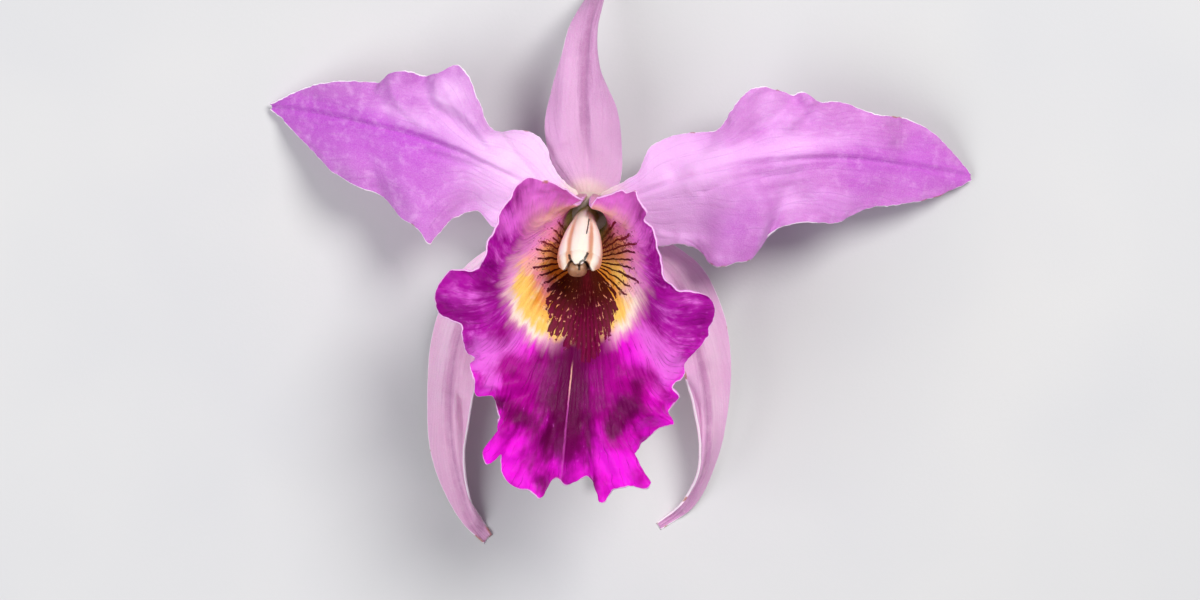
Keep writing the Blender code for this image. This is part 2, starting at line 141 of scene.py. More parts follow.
class Tree:
    """A node tree of either kind, with the few words that the recipes below are written in."""

    def __init__(self, nodes):
        self.nodes = nodes

    def plug(self, socket, value):
        if isinstance(value, Value):
            self.nodes.links.new(value.socket, socket)
        else:
            socket.default_value = value

    def node(self, kind, settings=None, sockets=None, output=0):
        """Adds a node. Its settings come first, because they decide which sockets it has."""
        made = self.nodes.nodes.new(kind)
        for name, value in (settings or {}).items():
            setattr(made, name, value)
        for name, value in (sockets or {}).items():
            self.plug(made.inputs[name], value)
        return Value(self, made.outputs[output])

    def maths(self, operation, *values):
        return self.node("ShaderNodeMath", {"operation": operation}, dict(enumerate(values)))

    def lowest(self, first, *others):
        for other in others:
            first = self.maths("MINIMUM", first, other)
        return first

    def smooth(self, value, start, end, low=0.0, high=1.0):
        """Runs from low to high while the value goes from start to end, and is level outside."""
        return self.node("ShaderNodeMapRange", {"interpolation_type": "SMOOTHSTEP"},
                         {0: value, 1: start, 2: end, 3: low, 4: high})

    def attribute(self, name):
        """A number that the mesh carries at each of its points."""
        if self.nodes.type == "GEOMETRY":
            return self.node("GeometryNodeInputNamedAttribute", {"data_type": "FLOAT"}, {"Name": name})
        return self.node("ShaderNodeAttribute", {"attribute_name": name}, output=2)

    def vector(self, x=0.0, y=0.0, z=0.0):
        return self.node("ShaderNodeCombineXYZ", sockets={0: x, 1: y, 2: z})

    def scaled(self, vector, factor):
        return self.node("ShaderNodeVectorMath", {"operation": "SCALE"}, {0: vector, 3: factor})

    def noise(self, place, scale, detail=2.0, roughness=0.5):
        """Cloudy noise between 0 and 1."""
        return self.node("ShaderNodeTexNoise", {"noise_dimensions": "3D"},
                         {"Vector": place, "Scale": scale, "Detail": detail, "Roughness": roughness})

    def chance(self, number):
        """A fixed draw between 0 and 1 for each number."""
        return self.node("ShaderNodeTexWhiteNoise", {"noise_dimensions": "1D"}, {"W": number})


# %% [markdown]
# ## Running a geometry tree
#
# A geometry tree is a recipe with named sizes. The modifier that runs it knows each size by its
# socket's identifier, which is set before the object is first looked at. The result is kept as a
# plain mesh and the modifier goes, so nothing is left to be worked out later.

# %% Recipes and their results
SOCKET_KINDS = {float: "NodeSocketFloat", int: "NodeSocketInt"}


def new_recipe(name, sizes):
    """A geometry tree with these sizes as named inputs, and its inputs as values."""
    group = bpy.data.node_groups.new(name, "GeometryNodeTree")
    group.interface.new_socket("Geometry", in_out="INPUT", socket_type="NodeSocketGeometry")
    group.interface.new_socket("Geometry", in_out="OUTPUT", socket_type="NodeSocketGeometry")
    for label, value in sizes.items():
        kind = SOCKET_KINDS[type(value)]
        group.interface.new_socket(label, in_out="INPUT", socket_type=kind).default_value = value
    group.interface.new_socket("Material", in_out="INPUT", socket_type="NodeSocketMaterial")
    tree = Tree(group)
    start = group.nodes.new("NodeGroupInput")
    return tree, {socket.name: Value(tree, socket) for socket in start.outputs if socket.name}


def end_recipe(tree, geometry, material):
    """Every recipe ends alike: copies made real, the material set, and the result handed out."""
    real = tree.node("GeometryNodeRealizeInstances", sockets={0: geometry})
    dressed = tree.node("GeometryNodeSetMaterial", sockets={"Geometry": real, "Material": material})
    end = tree.nodes.nodes.new("NodeGroupOutput")
    tree.plug(end.inputs[0], dressed)
    return tree.nodes


def cook(recipe, start, name, **sizes):
    """Runs a recipe on a starting mesh and returns the result as a plain new object."""
    base = bpy.data.objects.new(name + "_start", start)
    bpy.context.scene.collection.objects.link(base)
    modifier = base.modifiers.new("recipe", "NODES")
    modifier.node_group = recipe
    for socket in recipe.interface.items_tree:
        if socket.in_out == "INPUT" and socket.name.lower().replace(" ", "_") in sizes:
            modifier[socket.identifier] = sizes[socket.name.lower().replace(" ", "_")]
    bpy.context.view_layer.update()
    graph = bpy.context.evaluated_depsgraph_get()
    mesh = bpy.data.meshes.new_from_object(
        base.evaluated_get(graph), preserve_all_data_layers=True, depsgraph=graph)
    bpy.data.objects.remove(base)
    return new_piece(name, mesh)


def new_piece(name, mesh):
    """A finished piece at the origin, with its triangles counted."""
    mesh.name = name
    piece = bpy.data.objects.new(name, mesh)
    bpy.context.scene.collection.objects.link(piece)
    mesh.calc_loop_triangles()
    size = np.ptp([vertex.co for vertex in mesh.vertices], axis=0) / MM
    print(f"{name}: {len(mesh.loop_triangles)} triangles, {' x '.join(f'{s:.1f}' for s in size)} mm")
    return piece


# %% [markdown]
# ## Guides of the sepals and petals
#
# A petal could be carved, or drawn as a flat outline and bent. Here each blade hangs on three guide
# lines, the midrib and the two margins, and every cross-section is the parabola through its three
# points. That keeps the real outline and the real curl, and the same guides shape the solids. Each
# guide point is a place along the blade from claw to tip, then X, Y and Z from the heart.

# %% The guides
GUIDES = {
    "petal_left": {
        "midrib": [
            (0, -4.6, 2.7, -0.9), (0.1, -10, 5, 0.2), (0.25, -21.5, 11, 2.5), (0.45, -33.5, 16, 3),
            (0.65, -46, 19.5, 0), (0.85, -59, 22.5, -8), (1, -69, 24, -15.2),
        ],
        "upper": [
            (0, -2.4, 4.9, -0.9), (0.07, -7, 9.5, -0.5), (0.15, -9.5, 15.5, -1), (0.19, -11.5, 17.5, -1),
            (0.24, -15, 18.5, -1), (0.315, -20.5, 18.5, 1), (0.385, -23.5, 24.5, 4.5), (0.44, -26, 30.5, 6),
            (0.465, -27.5, 32, 5), (0.525, -32.5, 30.5, 2.5), (0.55, -34.5, 30, 1.5), (0.61, -39.5, 31, 3),
            (0.645, -42.5, 30.5, 0.5), (0.67, -44, 29, -1), (0.725, -48.5, 29, -2), (0.805, -56, 29, -5.5),
            (0.885, -62.5, 27.5, -9.5), (0.96, -68, 25, -13.5), (1, -69.5, 24.6, -15.2),
        ],
        "lower": [
            (0, -5.5, -0.4, -0.9), (0.11, -12, -3, -1.5), (0.215, -20, -2.5, -2.5), (0.3, -24, 1, -1),
            (0.39, -29.5, -1, 1.5), (0.455, -33, -5, 3), (0.475, -33.8, -6, 3.5), (0.54, -36.5, -3, 3.5),
            (0.615, -40.5, 0, 1), (0.67, -44, 4, -1.5), (0.74, -49, 6, -1), (0.82, -55, 9.5, -5),
            (0.9, -61.5, 16, -10), (0.965, -67, 21.5, -14), (1, -69.3, 23.5, -15.2),
        ],
    },
    "petal_right": {
        "midrib": [
            (0, 4.6, 2.7, -0.9), (0.1, 11.5, 5, 0.2), (0.25, 23, 8.5, 2.5), (0.45, 38, 11.5, 3),
            (0.65, 54, 12.5, 0.5), (0.85, 69.5, 11, -7.5), (1, 83, 8.5, -15.2),
        ],
        "upper": [
            (0, 2.4, 4.9, -0.9), (0.05, 6.5, 7, -0.8), (0.1, 10.5, 9.5, -0.5), (0.15, 12.5, 14, -1),
            (0.215, 17, 17, -1), (0.29, 23.5, 18, -0.5), (0.365, 28, 19, 2), (0.42, 31, 23.5, 4),
            (0.475, 34.5, 27, 5), (0.51, 37.5, 27.5, 5.5), (0.58, 43.5, 26, 2.5), (0.61, 46, 26.5, 4),
            (0.63, 48, 25, 3), (0.7, 54, 24.5, 0), (0.78, 61.5, 22, -2.5), (0.86, 68.5, 21, -6),
            (0.93, 75, 17.5, -10), (0.98, 81, 11.5, -14), (1, 83, 9.2, -15.2),
        ],
        "lower": [
            (0, 5.5, -0.4, -0.9), (0.05, 8.5, -3.5, -1.5), (0.1, 12, -5.5, -2), (0.15, 15.5, -6.5, -1),
            (0.2, 18.5, -6, 0.5), (0.29, 23.5, -7.5, 2), (0.36, 27, -11, 4.5), (0.43, 32, -10, 2.5),
            (0.46, 34.5, -9.5, 1), (0.505, 37, -6, -2), (0.56, 40, -3, 0), (0.64, 46.5, -1.5, 1.5),
            (0.715, 53, -1.5, -1), (0.785, 59.5, 1.5, -4), (0.86, 67, 2.5, -7), (0.94, 75.5, 4.5, -12),
            (1, 83.3, 8, -15.2),
        ],
    },
    "dorsal_sepal": {
        "midrib": [
            (0, 0, 5.5, -2.4), (0.1, -0.2, 11, -1.2), (0.25, -0.7, 18.5, 1.5), (0.45, -1, 28.5, 3.5),
            (0.6, -0.5, 36.5, 2.3), (0.75, 0.8, 43.8, -2.5), (0.88, 2.3, 49, -10), (0.95, 3, 51.9, -15.6),
            (1, 3.4, 54.8, -16.3),
        ],
        "upper": [
            (0, -3.1, 4.5, -2.4), (0.06, -5, 7, -3.2), (0.12, -7, 9.5, -3.4), (0.24, -9, 15, -3),
            (0.31, -9.5, 19, -2), (0.45, -8, 27, 0.5), (0.59, -6, 34, 1.5), (0.73, -4.3, 40.5, -0.5),
            (0.87, -0.7, 47, -8.5), (0.95, 1.8, 51.6, -15.4), (1, 2.8, 54.8, -16.3),
        ],
        "lower": [
            (0, 3.1, 4.5, -2.4), (0.06, 5.5, 5.5, -3.2), (0.18, 7, 10, -3), (0.25, 7, 14, -3),
            (0.39, 6, 22.5, -0.5), (0.53, 2.5, 30.5, 1), (0.67, 1.5, 38, 0), (0.81, 2.5, 44.5, -5),
            (0.9, 3.7, 49, -12), (0.95, 4.2, 51.6, -15.4), (1, 4.1, 54.6, -16.3),
        ],
    },
    "lateral_sepal_left": {
        "midrib": [
            (0, -4.6, -2.8, -2.4), (0.14, -13.5, -7.5, -5), (0.28, -22.5, -15, -6.5), (0.42, -27.5, -25, -7),
            (0.56, -29.5, -34.5, -8), (0.7, -29.7, -46.5, -9), (0.85, -27.5, -59, -12.5),
            (0.94, -25, -66.5, -15.6), (1, -22, -70, -16.2),
        ],
        "upper": [
            (0, -5.5, 0.2, -2.4), (0.07, -10.5, -1.5, -5), (0.14, -16.5, -4, -7.5), (0.28, -27.5, -11.5, -9),
            (0.35, -30.5, -16, -10), (0.49, -34, -26, -11), (0.62, -35, -37.5, -11.5), (0.74, -34.5, -50, -12.5),
            (0.85, -31.5, -59.5, -14.5), (0.94, -27, -67, -16), (1, -22.8, -71, -16.2),
        ],
        "lower": [
            (0, -2.6, -4.9, -2.4), (0.07, -6, -7.5, -3.5), (0.14, -11, -10.5, -4.5), (0.28, -18, -18.5, -4.5),
            (0.42, -22, -28.5, -4), (0.56, -24.5, -37, -4.5), (0.68, -26, -45, -5), (0.8, -27, -53.5, -8),
            (0.9, -25.3, -62, -12.5), (0.94, -23.5, -65, -14.5), (1, -21, -69, -16.2),
        ],
    },
    "lateral_sepal_right": {
        "midrib": [
            (0, 4.6, -2.8, -2.4), (0.14, 12, -7.5, -5), (0.27, 18.5, -14, -6), (0.42, 22.3, -25, -7),
            (0.57, 25, -38, -8), (0.72, 25.3, -50, -9), (0.85, 23.5, -57.5, -12.5), (0.94, 19.5, -64, -15.6),
            (1, 15, -67.3, -16.2),
        ],
        "upper": [
            (0, 5.5, 0.2, -2.4), (0.07, 9.5, -1.5, -5), (0.14, 14.5, -4, -7.5), (0.27, 23.5, -10, -9),
            (0.39, 27.5, -16.5, -10), (0.51, 30, -24.5, -11), (0.6, 30.7, -32.5, -11.5), (0.69, 30, -41.5, -12),
            (0.81, 27.5, -53, -13.5), (0.92, 22.5, -63, -15.8), (1, 15.5, -68, -16.2),
        ],
        "lower": [
            (0, 2.6, -4.9, -2.4), (0.07, 5.5, -7.5, -3.5), (0.14, 9.5, -11, -4.5), (0.27, 15, -18, -4.5),
            (0.39, 18.5, -26, -4.5), (0.51, 20.5, -34, -4), (0.63, 22.5, -40.5, -4.5), (0.75, 24, -49.5, -6.5),
            (0.87, 22.5, -58, -10.8), (0.92, 20, -62, -13.5), (1, 14.5, -66.6, -16.2),
        ],
    },
}
print(len(GUIDES), "blades,", sum(len(g) for blade in GUIDES.values() for g in blade.values()), "points")

# %% [markdown]
# ## A smooth line through a few points
#
# The guide points are few, so the line between them has to be smooth. A cubic piece between each
# two points, with the slope at each point taken from its neighbours, stays close to the points and
# doesn't swing out where they bunch up, as at the notches of the margin.

# %% Smooth lines and measures
def smooth_line(points, at):
    """The line through points that are each a place and its values, read at other places."""
    table = np.array(points, float)
    place = table[:, 0]
    value = table[:, 1:]
    slope = np.gradient(value, place, axis=0)
    at = np.asarray(at, float)
    low = np.clip(np.searchsorted(place, at, side="right") - 1, 0, len(place) - 2)
    span = (place[low + 1] - place[low])[:, None]
    t = ((at - place[low])[:, None]) / span
    ends = value[low] * (1 + 2 * t) * (1 - t) ** 2 + value[low + 1] * t**2 * (3 - 2 * t)
    return ends + span * (slope[low] * t * (1 - t) ** 2 + slope[low + 1] * t**2 * (t - 1))


def unit(vectors):
    return vectors / np.maximum(np.linalg.norm(vectors, axis=-1, keepdims=True), 1e-9)


def walk(points, axis):
    """How far each point of a grid is from the first of its row or column, and from the last."""
    steps = np.linalg.norm(np.diff(points, axis=axis), axis=-1)
    gone = np.cumsum(np.insert(steps, 0, 0, axis=axis), axis=axis)
    return gone, gone.take([-1], axis=axis) - gone


# %% [markdown]
# ## Folds
#
# A living petal isn't one clean curve. It has a few soft creases where it was packed in the bud, and
# they catch the light. Each fold here is a line over the blade, read off the picture, with a height
# and two widths, one for each flank. A short width gives a steep flank, as where a lobe turns down
# or lies over its neighbour, and a negative height gives a furrow.

# %% The folds of each blade
FOLD_STEPS = 48
# Each fold: height, width on the left of the line's run, width on its right, and the line's pixels.
FOLDS = {
    "petal_left": [
        (1.5, 3.2, 1.2, [(436, 66), (439, 98), (451, 104), (466, 115), (491, 143)]),
        (1.7, 0.5, 7.0, [(492, 122), (509, 146), (530, 172), (548, 196)]),
        (-0.7, 1.8, 1.8, [(424, 76), (427, 92), (438, 108), (455, 120)]),
        (1.0, 2.8, 1.0, [(389, 72), (394, 92), (404, 108), (418, 120)]),
        (-0.7, 1.5, 2.5, [(377, 80), (380, 96), (388, 108)]),
        (0.7, 3.0, 1.2, [(401, 121), (436, 134), (470, 150), (505, 168)]),
        (-0.4, 0.9, 0.9, [(424, 152), (452, 160), (480, 167)]),
        (-0.9, 2.5, 4.0, [(450, 222), (470, 206), (505, 204)]),
        (0.8, 4.0, 2.5, [(330, 150), (356, 168), (392, 182)]),
        (-0.6, 3.0, 3.0, [(352, 186), (384, 200), (418, 222)]),
        (0.6, 2.5, 2.5, [(330, 92), (352, 102), (372, 116)]),
    ],
    "petal_right": [
        (2.0, 2.2, 6.5, [(752, 194), (762, 216), (762, 238), (757, 258)]),
        (-1.2, 2.4, 2.0, [(724, 122), (712, 142), (697, 158), (676, 172)]),
        (1.0, 2.6, 2.2, [(752, 92), (738, 120), (716, 148), (694, 166)]),
        (-0.9, 1.3, 2.0, [(806, 90), (791, 104), (773, 121), (752, 138)]),
        (0.8, 1.2, 2.0, [(818, 92), (806, 108), (790, 124)]),
        (1.2, 1.6, 1.8, [(880, 110), (884, 124), (892, 136)]),
        (-0.9, 2.6, 2.6, [(898, 116), (902, 132), (908, 150)]),
        (0.6, 2.4, 2.0, [(690, 186), (745, 166), (800, 154), (850, 152)]),
        (-0.4, 1.0, 1.0, [(704, 192), (740, 180), (800, 172)]),
        (-0.8, 3.0, 3.0, [(792, 230), (800, 208), (790, 190)]),
        (0.8, 3.5, 3.0, [(838, 226), (836, 204), (822, 186)]),
        (0.7, 1.0, 2.4, [(662, 236), (680, 240), (698, 240)]),
    ],
    "dorsal_sepal": [
        (-1.0, 2.0, 2.0, [(584, 20), (582, 60), (581, 100), (585, 140), (588, 176)]),
        (0.8, 0.7, 1.8, [(602, 0), (598, 20), (599, 44), (604, 70)]),
        (0.6, 1.4, 1.4, [(566, 60), (563, 100), (562, 140)]),
    ],
    "lateral_sepal_left": [
        (1.0, 1.2, 2.2, [(452, 400), (456, 430), (458, 470), (463, 495), (474, 520)]),
        (-0.9, 1.4, 1.2, [(463, 400), (465, 440), (467, 470), (473, 500), (484, 528)]),
        (-0.5, 2.4, 2.4, [(440, 320), (443, 360), (447, 400)]),
        (0.6, 1.4, 1.4, [(462, 300), (464, 340), (462, 370)]),
    ],
    "lateral_sepal_right": [
        (1.3, 1.8, 0.9, [(690, 376), (701, 396), (706, 425), (705, 455), (698, 485), (684, 510)]),
        (-0.9, 1.3, 1.6, [(686, 390), (697, 410), (698, 440), (694, 468), (684, 496)]),
        (-0.5, 2.2, 2.2, [(712, 320), (718, 370), (717, 420)]),
        (0.5, 1.5, 1.5, [(700, 290), (708, 330), (708, 360)]),
    ],
    "lip": [
        (1.3, 2.4, 2.4, [(440, 290), (462, 296), (490, 292)]),
        (-1.2, 2.6, 2.6, [(476, 262), (492, 274), (512, 284)]),
        (0.9, 2.0, 2.0, [(490, 226), (506, 234), (522, 244)]),
        (1.2, 1.6, 2.2, [(460, 334), (484, 334), (508, 330)]),
        (-1.0, 1.8, 1.8, [(466, 352), (488, 352), (512, 346)]),
        (1.3, 1.4, 2.0, [(470, 376), (492, 384), (518, 380)]),
        (-1.0, 1.8, 1.8, [(484, 402), (508, 400), (530, 392)]),
        (1.1, 1.8, 1.8, [(498, 424), (520, 420), (538, 410)]),
        (1.2, 1.6, 1.6, [(512, 452), (530, 440), (542, 424)]),
        (-1.0, 1.6, 1.6, [(540, 480), (548, 450), (556, 420)]),
        (1.4, 2.2, 2.0, [(702, 306), (680, 304), (656, 300)]),
        (-1.1, 2.2, 2.2, [(698, 330), (678, 326), (654, 320)]),
        (1.2, 1.6, 1.8, [(678, 356), (658, 350), (634, 344)]),
        (1.1, 1.2, 1.6, [(676, 388), (656, 370), (630, 352)]),
        (-1.0, 1.6, 1.6, [(668, 402), (648, 390), (626, 372)]),
        (1.1, 1.6, 1.6, [(666, 420), (646, 408), (622, 390)]),
        (-1.1, 2.0, 2.0, [(646, 440), (630, 424), (612, 404)]),
        (1.3, 1.8, 1.8, [(620, 482), (612, 454), (600, 424)]),
        (-1.0, 1.6, 1.6, [(594, 476), (592, 450), (586, 420)]),
    ],
}


def fold_lift(places, height, left_width, right_width, line):
    """How far a fold lifts each of these places. Its line runs smoothly through the listed pixels."""
    listed = [(number, *on_picture(*pixel)) for number, pixel in enumerate(line)]
    crest = smooth_line(listed, np.linspace(0, len(line) - 1, FOLD_STEPS))
    run = unit(np.gradient(crest, axis=0))
    gaps = places[..., None, :] - crest
    nearest = np.argmin(np.linalg.norm(gaps, axis=-1), axis=-1)
    gap = np.take_along_axis(gaps, nearest[..., None, None], axis=-2)[..., 0, :]
    run = run[nearest]
    beside = run[..., 0] * gap[..., 1] - run[..., 1] * gap[..., 0]
    ahead = (run * gap).sum(axis=-1)
    past = np.where(nearest == 0, np.minimum(ahead, 0), np.where(nearest == FOLD_STEPS - 1, np.maximum(ahead, 0), 0))
    distance = np.hypot(beside, past)
    lean = beside / np.maximum(distance, 1e-6)
    width = (left_width + right_width) / 2 + lean * (left_width - right_width) / 2
    return height * np.exp(-((distance / width) ** 2))


# %% [markdown]
# ## Painted light and shade
#
# Each blade has a few broad paler and deeper places. They are painted light and shade, where
# folds and lobes of the satiny tissue face towards the lamp or away from it, together with sap
# that isn't spread evenly. They are soft round spots, read off the picture. The mesh carries
# their sum as one number from -1, deep, to 1, pale, and the finish roughens the edges of it.

# %% Painted light and shade of each blade
# Each spot: its pixel, its size in millimetres and how pale its painted light is, or how deep its painted shade if
# negative.
LIGHT_AND_SAP_SPOTS = {
    "petal_left": [
        (530, 158, 9, 0.9), (468, 84, 5, 0.5), (430, 100, 6, 0.3), (455, 118, 6, 0.5), (490, 150, 5, 0.4),
        (330, 128, 9, -0.5), (385, 140, 7, -0.5), (432, 146, 7, -0.6), (478, 160, 5, -0.5), (300, 108, 7, -0.6),
        (360, 88, 5, -0.3), (440, 200, 6, -0.2), (400, 190, 6, -0.2),
    ],
    "petal_right": [
        (665, 180, 8, 0.9), (720, 165, 7, 0.6), (760, 105, 6, 0.5), (800, 140, 7, 0.3), (790, 205, 6, 0.6),
        (730, 150, 6, -0.2), (730, 235, 7, -0.6), (755, 205, 4, -0.3), (860, 158, 7, -0.5), (925, 166, 7, -0.7),
        (870, 190, 6, -0.4), (700, 215, 5, -0.2), (830, 110, 5, -0.3),
    ],
    "dorsal_sepal": [(575, 120, 5, 0.3), (560, 150, 4, 0.4), (604, 120, 4, 0.5), (588, 60, 5, -0.4), (590, 190, 4, 0.8)],
    "lateral_sepal_left": [(440, 350, 5, -0.4), (452, 400, 5, 0.4), (455, 460, 5, 0.3), (445, 430, 4, -0.2)],
    "lateral_sepal_right": [(690, 275, 6, -0.3), (716, 350, 5, 0.4), (712, 410, 5, 0.6), (700, 450, 4, 0.3)],
    "lip": [
        (508, 222, 3.5, 0.8), (540, 196, 4.0, 0.9), (452, 296, 2.6, 0.6), (484, 352, 4.0, 0.9),
        (496, 384, 2.8, 0.8), (520, 345, 4.0, 0.7), (612, 205, 3.5, 0.9), (640, 345, 5.0, 1.0),
        (668, 366, 3.5, 0.8), (690, 312, 2.4, 0.4), (655, 395, 2.8, 0.7), (640, 422, 2.2, 0.5),
        (500, 460, 3.4, 1.0), (528, 440, 2.4, 0.7), (552, 468, 2.8, 0.6), (620, 465, 4.6, 1.0),
        (598, 440, 2.2, 0.4), (640, 235, 4.0, 0.7),
        (444, 310, 4.0, -0.8), (470, 318, 3.5, -0.6), (488, 288, 3.5, -0.8), (500, 400, 2.6, -0.8),
        (522, 418, 2.6, -0.8), (512, 372, 2.4, -0.6), (702, 318, 3.0, -0.6), (640, 384, 3.0, -0.7),
        (630, 410, 3.6, -0.9), (612, 430, 3.0, -0.9), (545, 440, 3.4, -0.8), (540, 480, 2.4, -0.8),
        (664, 290, 3.0, -0.4), (490, 262, 3.0, -0.5), (595, 480, 2.4, -0.6),
    ],
}


def light_and_sap_at(name, points):
    """How much painted light, pale, or painted shade, deep, lies at each of these points of the blade."""
    light_and_sap = np.zeros(points.shape[:-1])
    height = np.median(points[..., 2])
    for column, row, size, strength in LIGHT_AND_SAP_SPOTS[name]:
        distance = np.linalg.norm(points[..., :2] - on_picture(column, row, height), axis=-1)
        light_and_sap += strength * np.exp(-((distance / size) ** 2))
    return np.clip(light_and_sap, -1, 1)


# %% [markdown]
# ## The skin of a blade
#
# A skin is the blade's middle surface with no thickness yet. Its grid is close together towards the
# margins, where the frills and teeth come. Each point also carries what the later steps ask for: how
# far along the blade it is, how far beside the midrib, how far from the nearest margin, and where it
# lies between the main veins. In the real petal the outer veins run out through the margin one by
# one on the way to the tip, so the veins are counted on a scale that narrows towards the tip.

# %% Skins
VEIN_STEP = 0.2
VEIN_SPREAD = 0.6
INTO_KNOB = 0.72


def lay_skin(name, points, marks, outward):
    """A mesh from a grid of points about the heart, facing the eye, that carries these marks."""
    rows, columns = points.shape[:2]
    index = np.arange(rows * columns).reshape(rows, columns)
    faces = np.stack([index[:-1, :-1], index[1:, :-1], index[1:, 1:], index[:-1, 1:]], axis=-1).reshape(-1, 4)
    face_up = np.cross(np.gradient(points, axis=0), np.gradient(points, axis=1))[..., 2]
    if np.median(face_up) < 0:
        faces = faces[:, ::-1]
    mesh = bpy.data.meshes.new(name + "_skin")
    mesh.from_pydata(((points + HEART) * MM).reshape(-1, 3).tolist(), [], faces.tolist())
    for mark, values in marks.items():
        layer = mesh.attributes.new(mark, "FLOAT", "POINT")
        layer.data.foreach_set("value", np.broadcast_to(values, (rows, columns)).ravel().astype(np.float32))
    layer = mesh.attributes.new("outward", "FLOAT_VECTOR", "POINT")
    layer.data.foreach_set("vector", outward.ravel().astype(np.float32))
    return mesh


def blade_skin(name, rows, columns):
    guides = GUIDES[name]
    along = np.insert(np.linspace(0, 1, rows - 1), 0, 0)
    turn = np.linspace(-1, 1, columns) * 0.46 * math.pi
    across = np.sin(turn) / math.sin(turn[-1])
    upper, midrib, lower = (smooth_line(guides[line], along)[:, None, :] for line in ("upper", "midrib", "lower"))
    side = across[None, :, None]
    points = midrib + side * (lower - upper) / 2 + side**2 * ((lower + upper) / 2 - midrib)
    for fold in FOLDS[name]:
        points[..., 2] += fold_lift(points[..., :2], *fold)
    points[0] *= INTO_KNOB
    from_left, from_right = walk(points, 1)
    from_claw, from_tip = walk(points, 0)
    half_width = from_right[:, :1] / 2
    spread = np.maximum(1 - along, 0.02)[:, None] ** VEIN_SPREAD
    marks = {
        "along": along[:, None],
        "aside": across * half_width,
        "margin": np.minimum.reduce([from_left, from_right, from_claw, from_tip]),
        "vein_place": across * spread / VEIN_STEP,
        "vein_gap": half_width * VEIN_STEP / spread,
        "rib": (1 - np.abs(across)) ** 2,
        "light_and_sap": light_and_sap_at(name, points),
    }
    outward = unit(np.gradient(points, axis=1)) * np.sign(side)
    return lay_skin(name, points, marks, outward)


# %% [markdown]
# ## The skin of the lip
#
# The lip is a trumpet that stands open along its top. It is laid out as rings round the column, each
# wider than the last, and a frilled margin, whose points were read off the picture one ruffle at a
# time. A row of the grid runs from the throat out to one place of the margin, as the lip's own veins
# do. Rows are set by how far the margin runs, so that every ruffle gets its share of them.

# %% The lip's rings and margin
LIP_RINGS = [
    (0, (0, 0), (4.1, 4.1, 4.1), (0.85, 0.85, 0.85)),
    (0.14, (-0.6, -1.4), (5.2, 4.9, 4.9), (6, 7, 6)),
    (0.28, (-1, -4.6), (9.4, 6.2, 7.4), (11, 14, 12)),
    (0.45, (-1.4, -10), (17, 10.5, 12.4), (22, 20, 15.5)),
    (0.72, (-2, -16), (28, 17.5, 18.4), (28.5, 27.5, 18.5)),
]
LIP_MARGIN = [
    (-176, -1.2, 2.8, 20.5), (-168, -3.7, 4.8, 22.7), (-159, -6.5, 6.5, 25), (-150, -10.5, 7.5, 27),
    (-145, -12.5, 8, 27), (-140, -15, 6.5, 26.5), (-131, -17, 3, 27), (-122, -19, -0.5, 27.5),
    (-112, -20.5, -5, 29), (-102, -22.5, -9.5, 29.5), (-96.5, -24, -11.5, 28.5), (-92.5, -28.5, -11.5, 26),
    (-89, -31.5, -14.5, 25), (-85, -32.5, -17.5, 25), (-80, -31.5, -21, 26), (-76, -29.5, -22, 27.5),
    (-72, -27, -23, 28.5), (-67, -26.5, -26, 27.5), (-62, -25.5, -29, 26), (-58, -24, -30.5, 27),
    (-54.5, -25, -32, 28.5), (-50.5, -24, -35, 27.5), (-46.5, -23.5, -38, 26), (-43.5, -20.3, -38, 28),
    (-40, -19.4, -40.5, 28.5), (-37, -18.6, -42.6, 28), (-34, -19.2, -45.3, 27.3),
    (-31, -18.9, -48.2, 27), (-28.5, -22.3, -50.3, 28.5), (-27, -21.5, -52.5, 29.5),
    (-24.5, -18.5, -50.5, 27), (-22.5, -18.5, -53.5, 25),
    (-19.5, -16.5, -56.5, 25), (-13, -11.5, -58.5, 28.5), (-11, -10, -59.5, 28), (-9.5, -8.5, -57, 26),
    (-5.5, -6, -56, 26.5), (-4, -5, -57, 25.5), (2, 0.5, -55.5, 26), (5, 2.5, -60.5, 29),
    (8, 5, -58, 28), (11.5, 8, -57, 30), (17, 12, -55.5, 31), (18.5, 9, -52, 26),
    (20.5, 10, -50, 24), (24.5, 12.5, -47, 24.5), (29, 15.5, -44.5, 27.5), (33, 18, -44, 29.5),
    (37, 17, -41, 27.5), (41, 19, -38, 28), (43, 17.5, -36.5, 29), (46.5, 20, -34, 28),
    (52, 20, -31, 26), (58, 22.5, -28.5, 26.5), (64.5, 24.5, -26.5, 27), (70.5, 25.5, -24, 26.5),
    (77, 26.5, -20.5, 25.5), (83, 26, -18, 25), (87, 23.5, -16.5, 26.5), (91, 19, -16, 28.5),
    (95, 17, -14.5, 29.5), (103, 15.5, -11, 29.5), (115, 14.5, -6.5, 28), (127, 13.5, -2.5, 27),
    (131, 12.3, -1.2, 26), (135.5, 12.5, 0.5, 27), (143, 10.5, 3.5, 27), (148, 10, 5, 26.5),
    (152, 8, 4.5, 25), (157, 7, 5, 25), (164.5, 4, 3.8, 22.7), (172, 1.5, 3, 20.5),
]
MIDLINE = -5.5
LIP_VEIN_STEP = 9.0
ROOT_DEPTH = -1.5


def round_column(values, turn):
    """A measure given below the column, beside it and above it, read at every turn between."""
    below, beside, above = values
    mean = (below + above) / 4 + beside / 2
    return mean + (below - above) / 2 * np.cos(turn) + ((below + above) / 2 - mean) * np.cos(2 * turn)


